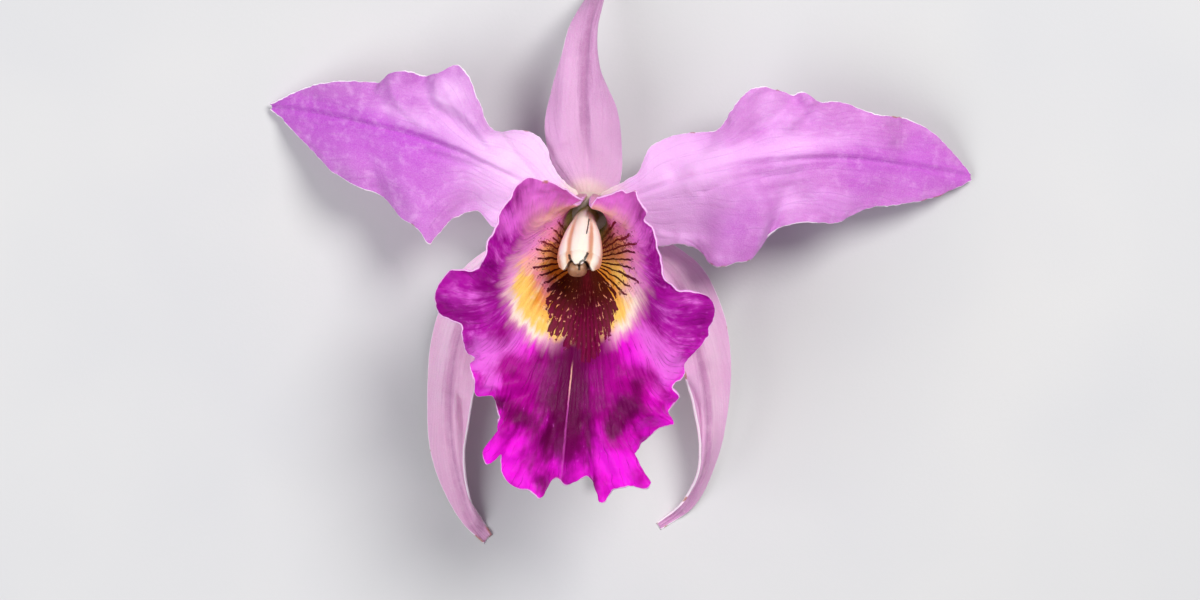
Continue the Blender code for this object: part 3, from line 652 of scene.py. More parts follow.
def lip_skin(rows, columns):
    listed = np.linspace(LIP_MARGIN[0][0], LIP_MARGIN[-1][0], 4000)
    run = np.linalg.norm(np.gradient(smooth_line(LIP_MARGIN, listed), axis=0), axis=1)
    measure = np.cumsum(run + run.mean() / 2)
    fan = np.interp(np.linspace(measure[0], measure[-1], rows), measure, listed)
    turn = np.radians(fan)
    margin = smooth_line(LIP_MARGIN, fan)
    rings = []
    for share, (x, y), radius, height in LIP_RINGS:
        out = round_column(radius, turn)
        middle = np.stack([x + out * np.sin(turn), y - out * np.cos(turn), round_column(height, turn)], axis=1)
        rings.append((share, middle))
    rings.append((1, margin))
    outward = np.sin(np.linspace(0, 0.44 * math.pi, columns)) / math.sin(0.44 * math.pi)
    points = np.empty((rows, columns, 3))
    for row in range(rows):
        points[row] = smooth_line([(share, *ring[row]) for share, ring in rings], outward)
    for fold in FOLDS["lip"]:
        points[..., 2] += fold_lift(points[..., :2], *fold)
    points[:, 0, 2] = ROOT_DEPTH
    from_slit, to_slit = walk(points, 0)
    from_throat, from_margin = walk(points, 1)
    middle = np.argmin(np.abs(fan - MIDLINE))
    apart = np.linalg.norm(np.gradient(points, axis=0), axis=-1) / np.gradient(fan)[:, None]
    marks = {
        "along": outward,
        "aside": from_slit - from_slit[middle],
        "margin": np.minimum.reduce([from_slit, to_slit, from_throat, from_margin]),
        "vein_place": (fan / LIP_VEIN_STEP)[:, None],
        "vein_gap": apart * LIP_VEIN_STEP,
        "rib": (1 - outward) ** 2,
        "light_and_sap": light_and_sap_at("lip", points),
    }
    return lay_skin("lip", points, marks, unit(np.gradient(points, axis=1)))


# %% [markdown]
# ## Veins that branch
#
# The veins of an orchid leave the claw side by side and fork on their way out, so their spacing
# stays nearly even while the blade widens. A drawn texture would need a picture. Here the space
# between two main veins is a cell, and inside each cell three younger veins leave a neighbour at
# a place drawn by chance and ease over to the middle and the quarters. It takes a handful of
# Math nodes, and the same function serves the relief of the mesh and the colour of the finish.

# %% The vein pattern
MAIN_VEIN_WIDTH = 0.26
# Each younger vein: the two places it may spring from, where it settles, where it leaves, its width.
YOUNG_VEINS = [
    (0.0, 1.0, 0.5, 0.10, 0.21),
    (0.0, 0.5, 0.25, 0.30, 0.17),
    (1.0, 0.5, 0.75, 0.36, 0.17),
]
FORK_SPREAD = 0.24
FORK_LENGTH = 0.22


def branching_veins(tree, wander, seed, broad=1.0):
    """1 on a vein and 0 between veins. Wander is a small noise that keeps them from being ruled."""
    place = tree.attribute("vein_place") + wander
    gap = tree.attribute("vein_gap")
    along = tree.attribute("along")
    cell = tree.maths("FLOOR", place)
    inside = place - cell
    veins = tree.smooth(tree.lowest(inside, 1 - inside) * gap, MAIN_VEIN_WIDTH * broad, 0.0)
    for number, (one, other, settled, leaves, width) in enumerate(YOUNG_VEINS):
        springs = tree.maths("ROUND", tree.chance(cell + (seed + number * 17.7)))
        root = springs * (other - one) + one
        leaving = tree.chance(cell + (seed + number * 31.1)) * FORK_SPREAD + leaves
        gone = tree.smooth((along - leaving) / FORK_LENGTH, 0.0, 1.0)
        distance = tree.maths("ABSOLUTE", inside - (root + gone * (settled - root))) * gap
        young = tree.smooth(distance, width * broad, 0.0) * tree.smooth(along - leaving, 0.0, 0.05)
        veins = tree.maths("MAXIMUM", veins, young)
    return veins


# %% [markdown]
# ## From skin to tissue
#
# A petal is about a millimetre thick at the midrib and thin as paper at its margin. Solidify would
# give one thickness all over, with a square rim. This recipe lifts the skin by the midrib channel,
# the veins and the frill, nibbles the margin, and then lays a front and a back on it that meet in a
# rounded edge. The same recipe makes sepals, petals and lip, each with its own sizes.

# %% The tissue recipe
def tissue_recipe():
    tree, given = new_recipe("tissue", {
        "Rib Thickness": 1.0, "Edge Thickness": 0.4, "Edge Round": 0.3,
        "Vein Depth": 0.06, "Channel Depth": 0.4, "Channel Width": 1.2,
        "Swell Height": 0.3, "Swell Size": 9.0,
        "Frill Height": 0.5, "Frill Size": 5.0, "Frill Reach": 4.0,
        "Tooth Depth": 0.3, "Tooth Size": 1.5, "Tooth Reach": 1.2, "Seed": 1.0,
    })
    here = tree.node("GeometryNodeInputPosition")
    normal = tree.node("GeometryNodeInputNormal")
    here_mm = tree.scaled(here, 1 / MM)
    seeded = tree.node("ShaderNodeVectorMath", {"operation": "ADD"},
                       {0: here_mm, 1: tree.vector(z=given["Seed"] * 37.0)})
    margin = tree.attribute("margin")
    aside = tree.maths("ABSOLUTE", tree.attribute("aside"))
    along = tree.attribute("along")

    def cloud(size, detail):
        return tree.noise(tree.scaled(seeded, 1 / size), 1.0, detail) - 0.5

    veins = branching_veins(tree, cloud(20.0, 1.0) * 0.4, 3.0, broad=2.0)
    channel = tree.smooth(aside, given["Channel Width"], 0.0) * tree.smooth(along, 0.02, 0.15)
    frill = cloud(given["Frill Size"], 1.0) * given["Frill Height"] * 2.0
    swell = cloud(given["Swell Size"], 2.0) * given["Swell Height"] * 2.0
    lift = swell * tree.smooth(margin, 0.0, 2.0) + frill * tree.smooth(margin, given["Frill Reach"], 0.0)
    lift = lift - veins * given["Vein Depth"] - channel * given["Channel Depth"]
    tooth = cloud(given["Tooth Size"], 3.0) * given["Tooth Depth"] * 2.0
    nibble = tooth * tree.smooth(margin, given["Tooth Reach"], 0.0)
    outward = tree.node("GeometryNodeInputNamedAttribute", {"data_type": "FLOAT_VECTOR"}, {"Name": "outward"})

    thick = tree.attribute("rib") * (given["Rib Thickness"] - given["Edge Thickness"]) + given["Edge Thickness"]
    short = 1 - tree.lowest(margin / given["Edge Round"], 1.0)
    half = thick * 0.5 * tree.maths("SQRT", 1 - short * short)
    sides = []
    for front in (1, 0):
        rise = tree.scaled(normal, (lift + half * (2 * front - 1)) * MM)
        moved = tree.node("ShaderNodeVectorMath", {"operation": "ADD"},
                          {0: rise, 1: tree.scaled(outward, nibble * MM)})
        face = tree.node("GeometryNodeSetPosition", sockets={"Geometry": given["Geometry"], "Offset": moved})
        face = tree.node("GeometryNodeStoreNamedAttribute", {"data_type": "FLOAT", "domain": "POINT"},
                         {"Geometry": face, "Name": "front", "Value": float(front)})
        sides.append(face)
    sides[1] = tree.node("GeometryNodeFlipFaces", sockets={"Mesh": sides[1]})
    both = tree.nodes.nodes.new("GeometryNodeJoinGeometry")
    for side in sides:
        tree.nodes.links.new(side.socket, both.inputs[0])
    closed = tree.node("GeometryNodeMergeByDistance",
                       sockets={"Geometry": Value(tree, both.outputs[0]), "Distance": 0.0001 * MM})
    parts = tree.nodes.nodes.new("ShaderNodeSeparateXYZ")
    tree.plug(parts.inputs[0], here)
    x, y, z = (Value(tree, socket) for socket in parts.outputs)
    raised = tree.vector(x, y, tree.maths("MAXIMUM", z, 0.0))
    resting = tree.node("GeometryNodeSetPosition", sockets={"Geometry": closed, "Position": raised})
    smooth = tree.node("GeometryNodeSetShadeSmooth", sockets={"Geometry": resting})
    return end_recipe(tree, smooth, given["Material"])


tissue = tissue_recipe()
print("tissue recipe:", len(tissue.nodes), "nodes")

# %% [markdown]
# ## Colours
#
# Orchid tissue gets its colour from coloured sap in the outer cells over pale flesh, so the light
# goes in a little and comes back tinted. The finish is therefore one Principled shader with some
# subsurface and a faint sheen from the velvety cells, the same all over, and only the colour,
# the roughness and the fine relief change from place to place. Colours are written as a painter
# would name them from a print, 0 to 255, and turned into the light that Cycles works with.

# %% Helpers for finishes
def paint(red, green, blue):
    """A colour from print values 0 to 255, as the linear light that a shader takes."""
    return (*((((v / 255 + 0.055) / 1.055) ** 2.4 if v > 10 else v / 255 / 12.92) for v in (red, green, blue)), 1)


class Finish(Tree):
    """A material of one Principled shader, with the words its colour recipe is written in."""

    def __init__(self, name, **constants):
        self.material = bpy.data.materials.new(name)
        self.material.use_nodes = True
        super().__init__(self.material.node_tree)
        self.shader = self.nodes.nodes["Principled BSDF"]
        for socket, value in constants.items():
            self.shader.inputs[socket.replace("_", " ")].default_value = value
        self.place = Value(self, self.nodes.nodes.new("ShaderNodeTexCoord").outputs["Object"])
        self.place_mm = self.scaled(self.place, 1 / MM)

    def mix(self, factor, first, second):
        """A colour on the way from the first to the second."""
        return self.node("ShaderNodeMix", {"data_type": "RGBA"}, {0: factor, 6: first, 7: second}, output=2)

    def cloud(self, size, detail=2.0, roughness=0.5):
        """Cloudy noise from -0.5 to 0.5, its clouds about this many millimetres across."""
        return self.noise(self.scaled(self.place_mm, 1 / size), 1.0, detail, roughness) - 0.5

    def from_heart(self):
        """Where the point lies in the picture's plane, in millimetres right of the heart and above it."""
        parts = self.nodes.nodes.new("ShaderNodeSeparateXYZ")
        self.plug(parts.inputs[0], self.place_mm)
        return [Value(self, parts.outputs[i]) - HEART[i] for i in (0, 1)]

    def stroke(self, width, height, *line):
        """1 on a thin line drawn through points of the picture, and 0 a width away from it."""
        x, y = self.from_heart()
        corners = [on_picture(column, row, height) for column, row in line]
        nearest = 1000.0
        for (left, low), (right, high) in zip(corners, corners[1:]):
            run, rise = right - left, high - low
            part = ((x - left) * run + (y - low) * rise) / (run * run + rise * rise)
            part = self.lowest(self.maths("MAXIMUM", part, 0.0), 1.0)
            dx, dy = x - left - part * run, y - low - part * rise
            nearest = self.lowest(dx * dx + dy * dy, nearest)
        return self.smooth(self.maths("SQRT", nearest) + self.cloud(0.5) * width, width, width * 0.5)

    def finish(self, colour, roughness, relief):
        """Relief is the height of the fine surface in millimetres."""
        bump = self.node("ShaderNodeBump", sockets={"Distance": MM, "Height": relief, "Strength": 1.0})
        self.plug(self.shader.inputs["Base Color"], colour)
        self.plug(self.shader.inputs["Roughness"], roughness)
        self.plug(self.shader.inputs["Normal"], bump)
        return self.material


FLESH = {
    "Subsurface_Weight": 0.2, "Subsurface_Scale": 0.0014, "Subsurface_Radius": (1.0, 0.4, 0.8),
    "Sheen_Weight": 0.06, "Sheen_Roughness": 0.4, "IOR": 1.4, "Specular_IOR_Level": 0.3,
}

# %% [markdown]
# ## The finish of petals and sepals
#
# The petals are pale at the claw, pink-violet over the field, and flushed along the midrib and to
# the tip. The sepals are greyer pink, with a deeper strip along the channel. Both have darker veins,
# cloudy patches, painted light and shade over their folds, a painted highlight beside the midrib, a
# grain of tiny raised cells with specks of painted sparkle, a pale line of painted rim light along
# the margin, and a few brown spots where the thin margin has dried. The backs are paler.

# %% Petal and sepal finishes
def blade_finish(name, colours, flush_width, flush_from, vein_strength, greyed):
    tree = Finish(name, **FLESH)
    along = tree.attribute("along")
    signed = tree.attribute("aside")
    aside = tree.maths("ABSOLUTE", signed)
    margin = tree.attribute("margin")
    patches = tree.cloud(10.0, 3.0)
    mottle = tree.cloud(2.4, 4.0, 0.6)
    lay = tree.vector(tree.attribute("vein_place") * 2.4, along * 5.0, 0.0)
    fibre = tree.noise(lay, 1.0, 4.0, 0.62) - 0.5
    veins = branching_veins(tree, tree.cloud(16.0, 2.0) * 0.6, 3.0)
    veins = veins * tree.smooth(mottle + fibre, -0.2, 0.3, 0.1, 1.0)

    colour = tree.mix(tree.smooth(patches + fibre * 0.8, -0.3, 0.3), colours["deep"], colours["field"])
    # Painted light, in the claw colour, and painted shade, in the flush colour, from the blade's pale and deep spots.
    light_and_sap = tree.attribute("light_and_sap") + patches * 0.5 + fibre * 0.4
    colour = tree.mix(tree.smooth(light_and_sap, 0.05, 0.9) * 0.8, colour, colours["claw"])
    colour = tree.mix(tree.smooth(light_and_sap, -0.05, -0.9) * 0.8, colour, colours["flush"])
    edge_zone = tree.smooth(margin + patches * 6.0, 9.0, 1.0)
    colour = tree.mix(edge_zone * greyed, colour, colours["greyed"])
    claw = tree.smooth(along + patches * 0.2 + fibre * 0.1, 0.46, 0.1)
    colour = tree.mix(claw, colour, colours["claw"])
    # A painted highlight: a pale band on one side of the midrib, from near the claw to three quarters along.
    painted_highlight_band = tree.smooth(signed, -0.4, -2.0) * tree.smooth(signed + fibre * 4.0, -8.0, -3.5)
    painted_highlight_band = painted_highlight_band * tree.smooth(along, 0.12, 0.3) * tree.smooth(along, 0.75, 0.5)
    colour = tree.mix(painted_highlight_band * 0.55, colour, colours["claw"])
    flushed = tree.smooth(aside + fibre * 5.0 + patches * 3.0, flush_width, 0.4) * tree.smooth(along, *flush_from)
    tip = tree.smooth(along + patches * 0.3 + fibre * 0.1, 0.7, 0.95) * tree.smooth(margin, 0.5, 4.0, 0.4, 1.0)
    colour = tree.mix(tree.maths("MAXIMUM", flushed * 0.8, tip * 0.6), colour, colours["flush"])
    midrib = tree.smooth(aside + mottle * 0.5, 0.55, 0.1) * tree.smooth(along, *flush_from)
    midrib = midrib * tree.smooth(along, 0.97, 0.8)
    colour = tree.mix(midrib * 0.5, colour, colours["vein"])
    colour = tree.mix(veins * vein_strength, colour, colours["vein"])
    colour = tree.mix(tree.smooth(mottle, -0.05, 0.3, 0.0, 0.3), colour, colours["claw"])
    # Painted rim light: a thin pale line along the margin.
    colour = tree.mix(tree.smooth(margin + mottle * 0.12, 0.28, 0.12), colour, colours["rim"])
    spots = tree.cloud(4.0, 2.0) + tree.smooth(along, 0.9, 1.0) * 0.12
    dried = tree.smooth(margin + mottle * 0.5, 0.7, 0.15) * tree.smooth(spots, 0.13, 0.2)
    colour = tree.mix(dried * 0.85, colour, colours["dried"])
    colour = tree.mix(tree.smooth(along, 0.08, 0.01) * 0.6, colour, colours["base"])
    colour = tree.mix(tree.smooth(tree.attribute("front"), 0.6, 0.4) * 0.55, colour, colours["back"])
    grain = tree.cloud(0.26, 2.0)
    # Painted sparkle: tiny pale specks over the grain of raised cells.
    colour = tree.mix(tree.smooth(grain, -0.2, 0.3, 0.0, 0.12), colour, colours["rim"])
    roughness = tree.smooth(mottle + grain * 0.5, -0.4, 0.4, 0.4, 0.6)
    return tree.finish(colour, roughness, grain * 0.07 - veins * 0.04 + fibre * 0.16 + mottle * 0.14)


# The two petals are one tissue: the left palette is a shaded copy, painted darker. Rim is the colour of painted rim
# light and sparkle.
LEFT_PETAL_SHADED = {
    "claw": paint(250, 204, 250), "field": paint(204, 120, 210), "deep": paint(188, 98, 194),
    "flush": paint(192, 72, 204), "vein": paint(160, 50, 172), "rim": paint(255, 238, 252),
    "greyed": paint(188, 108, 192), "dried": paint(160, 96, 70), "base": paint(236, 216, 180),
    "back": paint(224, 174, 226),
}
# A lit copy of the left petal's palette: the same tissue painted paler.
RIGHT_PETAL_LIT = {
    **LEFT_PETAL_SHADED,
    "claw": paint(250, 192, 250), "field": paint(222, 144, 225), "deep": paint(202, 116, 202),
    "flush": paint(198, 84, 206), "greyed": paint(198, 114, 196),
}
RIGHT_SEPAL = {
    "claw": paint(246, 204, 230), "field": paint(230, 172, 212), "deep": paint(214, 152, 198),
    "flush": paint(198, 134, 182), "vein": paint(186, 122, 170), "rim": paint(255, 236, 248),
    "greyed": paint(236, 186, 224), "dried": paint(170, 104, 64), "base": paint(232, 206, 180),
    "back": paint(230, 200, 218),
}
# A lit copy of the sepal palette: the same tissue painted paler.
LEFT_SEPAL_LIT = {
    **RIGHT_SEPAL,
    "claw": paint(252, 216, 238), "field": paint(242, 184, 218), "deep": paint(228, 166, 206),
    "flush": paint(212, 148, 192), "greyed": paint(244, 190, 224),
}
# A shaded copy of the sepal palette: the same tissue painted darker.
DORSAL_SEPAL_SHADED = {
    **RIGHT_SEPAL,
    "claw": paint(226, 176, 216), "field": paint(202, 146, 192), "deep": paint(188, 132, 178),
    "flush": paint(176, 116, 164), "greyed": paint(212, 158, 204),
}
finishes = {
    "petal_left": blade_finish("left_petal_tissue", LEFT_PETAL_SHADED, 6.5, (0.2, 0.6), 0.24, 0.6),
    "petal_right": blade_finish("right_petal_tissue", RIGHT_PETAL_LIT, 5.0, (0.45, 0.8), 0.24, 0.45),
}
for name, palette in (
    ("dorsal_sepal", DORSAL_SEPAL_SHADED),
    ("lateral_sepal_left", LEFT_SEPAL_LIT),
    ("lateral_sepal_right", RIGHT_SEPAL),
):
    finishes[name] = blade_finish(name + "_tissue", palette, 2.6, (0.1, 0.35), 0.18, 0.5)
print("finishes:", ", ".join(finishes))

# %% [markdown]
# ## The finish of the lip
#
# The lip is the flower's signpost. Dark maroon lines run from its throat over a golden ground, break
# up into dots at their ends and crowd into one dark mass below the column. A pale rosy glow rings
# the gold, and the rest is violet on the side lobes and deep magenta on the front lobe, with darker
# veins. On the real lip the lines spread from a point under the column's tip as seen by the eye, so
# the pattern is worked out from the bearing and the reach from that point, all by Math nodes.

# %% The lip's measures
THROAT_POINT = on_picture(586.5, 260)
GOLD_MIDDLE = on_picture(575, 288)
GOLD_RADII = (13.3, 12.4)
DEGREES = 180 / math.pi
WIDE_LINES = 10.5
FINE_LINES = 4.8
FINE_SPREAD = 24.0
MASS_LEAN = 5.0

# The rim colour is that of the painted rim light along the margin, and the pale side colour that of painted highlights
# on the side lobes.
LIP_COLOURS = {
    "side": paint(166, 14, 152), "side_deep": paint(128, 0, 112), "side_pale_highlight": paint(226, 104, 216),
    "front": paint(172, 0, 142), "front_bright": paint(240, 22, 220), "front_dark": paint(96, 0, 66),
    "vein": paint(98, 0, 74), "rim": paint(252, 200, 246), "slit": paint(234, 126, 214),
    "slit_peach": paint(246, 186, 176), "gold": paint(255, 204, 104), "amber": paint(226, 142, 48),
    "rose": paint(238, 158, 160), "orange": paint(228, 148, 84), "glow": paint(246, 176, 210), "glow_white": paint(255, 232, 214),
    "line": paint(62, 0, 8), "line_red": paint(140, 30, 48), "line_purple": paint(112, 2, 58),
    "fleck": paint(246, 170, 142), "keel": paint(250, 190, 166), "keel_pink": paint(214, 84, 190),
    "dried": paint(176, 108, 84), "back": paint(196, 92, 194), "root": paint(190, 176, 84),
}


class LipFinish(Finish):
    """The lip's material, with every measure that its pattern is worked out from."""

    def __init__(self):
        flesh = {**FLESH, "Sheen_Weight": 0.0, "Specular_IOR_Level": 0.13}
        super().__init__("lip_tissue", **flesh)
        self.along = self.attribute("along")
        self.margin = self.attribute("margin")
        self.front = self.attribute("front")
        self.aside = self.attribute("aside")
        self.fan = self.attribute("vein_place")
        self.off_middle = self.maths("ABSOLUTE", self.fan)
        self.coarse = self.cloud(7.0, 3.0)
        self.middle = self.cloud(2.6, 3.0)
        self.fine = self.cloud(1.0, 3.0)
        self.grain = self.cloud(0.3, 2.0)
        self.streak = self.noise(self.vector(self.fan * 1.7, self.along * 4.0, 0.0), 1.0, 2.5, 0.5) - 0.5
        self.crinkle = self.noise(self.vector(self.fan * 4.5, self.along * 16.0, 7.0), 1.0, 3.0, 0.6) - 0.5
        veins = branching_veins(self, self.cloud(9.0, 2.0) * 0.9, 8.0, broad=0.9)
        self.veins = veins * self.smooth(self.middle + self.crinkle, -0.15, 0.25, 0.05, 1.0)

        self.x, self.y = self.from_heart()
        across = self.x - THROAT_POINT[0]
        down = THROAT_POINT[1] - self.y
        self.reach = self.maths("SQRT", across * across + down * down)
        bearing = self.maths("ARCTAN2", across, down) * DEGREES
        self.bearing = bearing + self.reach * self.reach * 0.03 * self.smooth(across, 2.0, 8.0)
        self.turned = self.maths("ABSOLUTE", self.bearing)


# %% The lip's ground colour
def lip_ground(lip):
    """Violet side lobes with pale streaks of painted highlight, a magenta front lobe darker beside the keel, partly its
    own colour and partly painted shade, and painted light and shade over the folds.
    """
    paints = LIP_COLOURS
    front_lobe = lip.smooth(lip.off_middle + lip.coarse * 2.5, 8.0, 4.5)
    grown = lip.streak + lip.coarse * 0.8 + lip.crinkle * 0.7
    side = lip.mix(lip.smooth(grown, -0.35, 0.05), paints["side_deep"], paints["side"])
    # Pale streaks over the side lobes are painted highlights of the satiny surface.
    side = lip.mix(lip.smooth(grown, 0.0, 0.5), side, paints["side_pale_highlight"])
    front = lip.mix(lip.smooth(lip.along + grown * 0.5, 0.7, 1.1), paints["front"], paints["front_bright"])
    # Darker beside the keel: partly the lip's own colour, partly painted shade in the valley along the midline.
    keel_pigment_and_shade = lip.smooth(lip.maths("ABSOLUTE", lip.aside) + grown * 8.0, 12.0, 1.0)
    front = lip.mix(keel_pigment_and_shade * lip.smooth(lip.along, 1.05, 0.7, 0.45, 1.0), front, paints["front_dark"])
    colour = lip.mix(front_lobe, side, front)
    # Painted light, in the lit colour, and painted shade, in the deep colour, from the lip's pale and deep spots.
    light_and_sap = lip.attribute("light_and_sap") + grown * 0.7
    lit = lip.mix(lip.smooth(lip.off_middle, 5.5, 3.5), paints["side_pale_highlight"], paints["front_bright"])
    colour = lip.mix(lip.smooth(light_and_sap, 0.1, 0.8) * 0.9, colour, lit)
    deep = lip.mix(front_lobe, paints["side_deep"], paints["front_dark"])
    colour = lip.mix(lip.smooth(light_and_sap, -0.1, -0.8) * 0.85, colour, deep)
    glints = lip.smooth(lip.crinkle + lip.fine * 0.7, 0.2, 0.42) * lip.smooth(lip.along, 0.4, 0.7)
    colour = lip.mix(glints * 0.5, colour, paints["side_pale_highlight"])
    return lip.mix(lip.veins * 0.5, colour, paints["vein"])


# %% The glow and the gold
def lip_glow(lip, colour):
    """A pale rosy ring round the throat, gold inside it, and the pale edges beside the column."""
    paints = LIP_COLOURS
    gold_x = (lip.x - GOLD_MIDDLE[0]) / GOLD_RADII[0]
    gold_y = (lip.y - GOLD_MIDDLE[1]) / GOLD_RADII[1]
    ring = lip.maths("SQRT", gold_x * gold_x + gold_y * gold_y)
    ring = ring + lip.streak * 0.4 + lip.coarse * 0.2 + lip.crinkle * 0.12
    corner = lip.smooth(lip.turned, 20.0, 36.0) * lip.smooth(lip.turned, 80.0, 54.0)
    glow = lip.mix(corner * lip.smooth(ring, 1.15, 1.0), paints["glow"], paints["glow_white"])
    here = lip.smooth(ring, 1.26, 0.98) * lip.smooth(lip.turned, 10.0, 34.0, 0.0, 1.0)
    colour = lip.mix(here * lip.smooth(lip.turned, 50.0, 90.0, 0.95, 0.6), colour, glow)
    inner = lip.mix(lip.smooth(ring, 0.5, 0.8), paints["amber"], paints["gold"])
    rosy = lip.smooth(lip.turned, 78.0, 100.0) * lip.smooth(ring, 0.6, 0.9)
    inner = lip.mix(lip.maths("MAXIMUM", rosy, lip.smooth(gold_y, 0.5, 0.85)) * 0.85, inner, paints["rose"])
    inner = lip.mix(lip.smooth(lip.middle + lip.streak, 0.05, 0.35) * 0.4, inner, paints["glow_white"])
    colour = lip.mix(lip.smooth(ring, 1.02, 0.84) * lip.smooth(lip.turned, 4.0, 26.0, 0.2, 1.0), colour, inner)
    above = lip.smooth(lip.reach + lip.middle * 4.0, 12.5, 7.0) * lip.smooth(lip.turned, 76.0, 96.0)
    colour = lip.mix(above * 0.85, colour, paints["orange"])
    slit = lip.smooth(lip.off_middle + lip.streak * 3.0, 14.2, 17.0)
    peach = lip.smooth(lip.along + lip.streak * 0.2, 0.92, 0.62)
    return lip.mix(slit * lip.smooth(peach, 0.0, 1.0, 0.6, 0.9), colour,
                   lip.mix(peach, paints["slit"], paints["slit_peach"]))


# %% The throat's lines
def lip_lines(lip, colour):
    """Maroon lines that spread from the throat point, break up at their ends and merge lowest."""
    paints = LIP_COLOURS
    turned, reach = lip.turned, lip.reach
    order = lip.bearing / WIDE_LINES + lip.maths("TANH", lip.bearing / FINE_SPREAD) * FINE_LINES
    order = order + lip.cloud(4.5, 2.0) * 1.0 + lip.fine * 0.2
    line = lip.maths("FLOOR", order)
    off_line = lip.maths("ABSOLUTE", order - line - 0.5)
    leaning = lip.maths("ABSOLUTE", lip.bearing + MASS_LEAN)
    end = lip.smooth(leaning, 50.0, 5.0, 10.9, 19.5) * (lip.chance(line + 0.5) * 0.24 + 0.88)
    end = end * lip.smooth(turned, 100.0, 140.0, 1.0, 0.84)
    half = lip.smooth(leaning, 58.0, 36.0, 0.15, 0.56) * (1 + lip.middle * 0.8)
    # The lines taper towards their ends, and widen near the throat point as painted shade under the column.
    half = half * lip.smooth(reach, end, end - 2.4, 0.7, 1.0) + lip.smooth(reach, 7.0, 3.0) * 0.1
    inked = lip.smooth(off_line - half + lip.fine * 0.22 + lip.grain * 0.08, 0.03, -0.03)
    inked = inked * lip.smooth(reach + lip.fine * 4.0, end, end - 0.4)
    dots = lip.smooth(lip.fine + lip.grain * 0.4, 0.1, 0.15) * lip.smooth(reach, end + 2.4, end - 1.0)
    dots = dots * lip.smooth(off_line, 0.5, 0.36) * lip.smooth(reach, 5.0, 8.0)
    network = lip.smooth(lip.maths("ABSOLUTE", lip.middle + lip.fine), 0.07, 0.02) * lip.smooth(turned, 92.0, 112.0)
    network = network * lip.smooth(reach, end, end - 2.0)
    stain = lip.smooth(reach + lip.middle * 5.0, end + 3.0, end) * lip.smooth(turned, 40.0, 56.0)
    colour = lip.mix(stain * lip.smooth(reach, end - 3.0, end) * 0.45, colour, paints["slit"])
    hairline = lip.smooth(off_line, 0.16, 0.4) * lip.smooth(lip.fine, -0.2, 0.2, 0.4, 1.0)
    ink = lip.mix(lip.smooth(reach + lip.middle * 6.0, 7.0, 15.0), paints["line"], paints["line_purple"])
    ink = lip.mix(lip.smooth(turned, 95.0, 120.0) * 0.6, ink, paints["line_red"])
    ink = lip.mix(hairline * lip.smooth(leaning, 56.0, 40.0) * 0.7, ink, paints["line"])
    ink = lip.mix(lip.smooth(reach, 9.0, 4.0) * lip.smooth(turned, 18.0, 4.0) * hairline * 0.6, ink, paints["line_red"])
    flecked = lip.noise(lip.vector(order * 2.0, reach * 0.75, 3.0), 1.0, 2.0) - 0.5
    flecks = lip.smooth(flecked + lip.fine * 0.15, 0.12, 0.17) * lip.smooth(reach, 4.0, 8.0)
    flecks = flecks * lip.smooth(leaning, 60.0, 44.0) * lip.smooth(turned, 3.0, 16.0, 0.35, 1.0)
    shown = lip.maths("MAXIMUM", lip.maths("MAXIMUM", inked, dots * 0.8), network * 0.85)
    shown = shown * (1 - flecks * 0.85) * lip.smooth(lip.front, 0.4, 0.6)
    colour = lip.mix(flecks * inked * 0.8, colour, paints["fleck"])
    return lip.mix(shown * 0.97, colour, ink)


# %% The keel, the rim and the root
def lip_edges(lip, colour):
    paints = LIP_COLOURS
    keel = lip.smooth(lip.maths("ABSOLUTE", lip.aside + lip.middle * 0.4), 0.26, 0.06)
    keel = keel * lip.smooth(lip.along, 0.5, 0.56) * lip.smooth(lip.along, 0.58, 0.72, 1.0, 0.55)
    keel_colour = lip.mix(lip.smooth(lip.along, 0.56, 0.68), paints["keel"], paints["keel_pink"])
    colour = lip.mix(keel * lip.smooth(lip.middle, -0.3, 0.2, 0.4, 0.9), colour, keel_colour)
    # Painted rim light: a thin pale line along the frilled margin.
    colour = lip.mix(lip.smooth(lip.margin + lip.fine * 0.25, 0.36, 0.1) * 0.9, colour, paints["rim"])
    dried = lip.smooth(lip.margin + lip.fine, 0.8, 0.1) * lip.smooth(lip.cloud(5.0, 2.0), 0.15, 0.22)
    colour = lip.mix(dried * 0.85, colour, paints["dried"])
    colour = lip.mix(lip.smooth(lip.along, 0.2, 0.08) * 0.8, colour, paints["root"])
    return lip.mix(lip.smooth(lip.front, 0.6, 0.4) * 0.5, colour, paints["back"])


lip_look = LipFinish()
lip_colour = lip_edges(lip_look, lip_lines(lip_look, lip_glow(lip_look, lip_ground(lip_look))))
lip_roughness = lip_look.smooth(lip_look.fine + lip_look.grain, -0.4, 0.4, 0.34, 0.52)
lip_relief = lip_look.grain * 0.05 + lip_look.streak * 0.08 + lip_look.crinkle * 0.13
lip_relief = lip_relief - lip_look.veins * 0.05 + lip_look.middle * 0.22
finishes["lip"] = lip_look.finish(lip_colour, lip_roughness, lip_relief)
print("lip finish:", len(finishes["lip"].node_tree.nodes), "nodes")

# %% [markdown]
# ## Sepals, petals and lip
#
# The skins and the recipe meet here. Petals and lip are thin with deep frills, sepals are a little
# thicker and nearly smooth-edged. The grids are as fine as the veins need and no finer, because each
# piece is also kept as a mesh of its own.

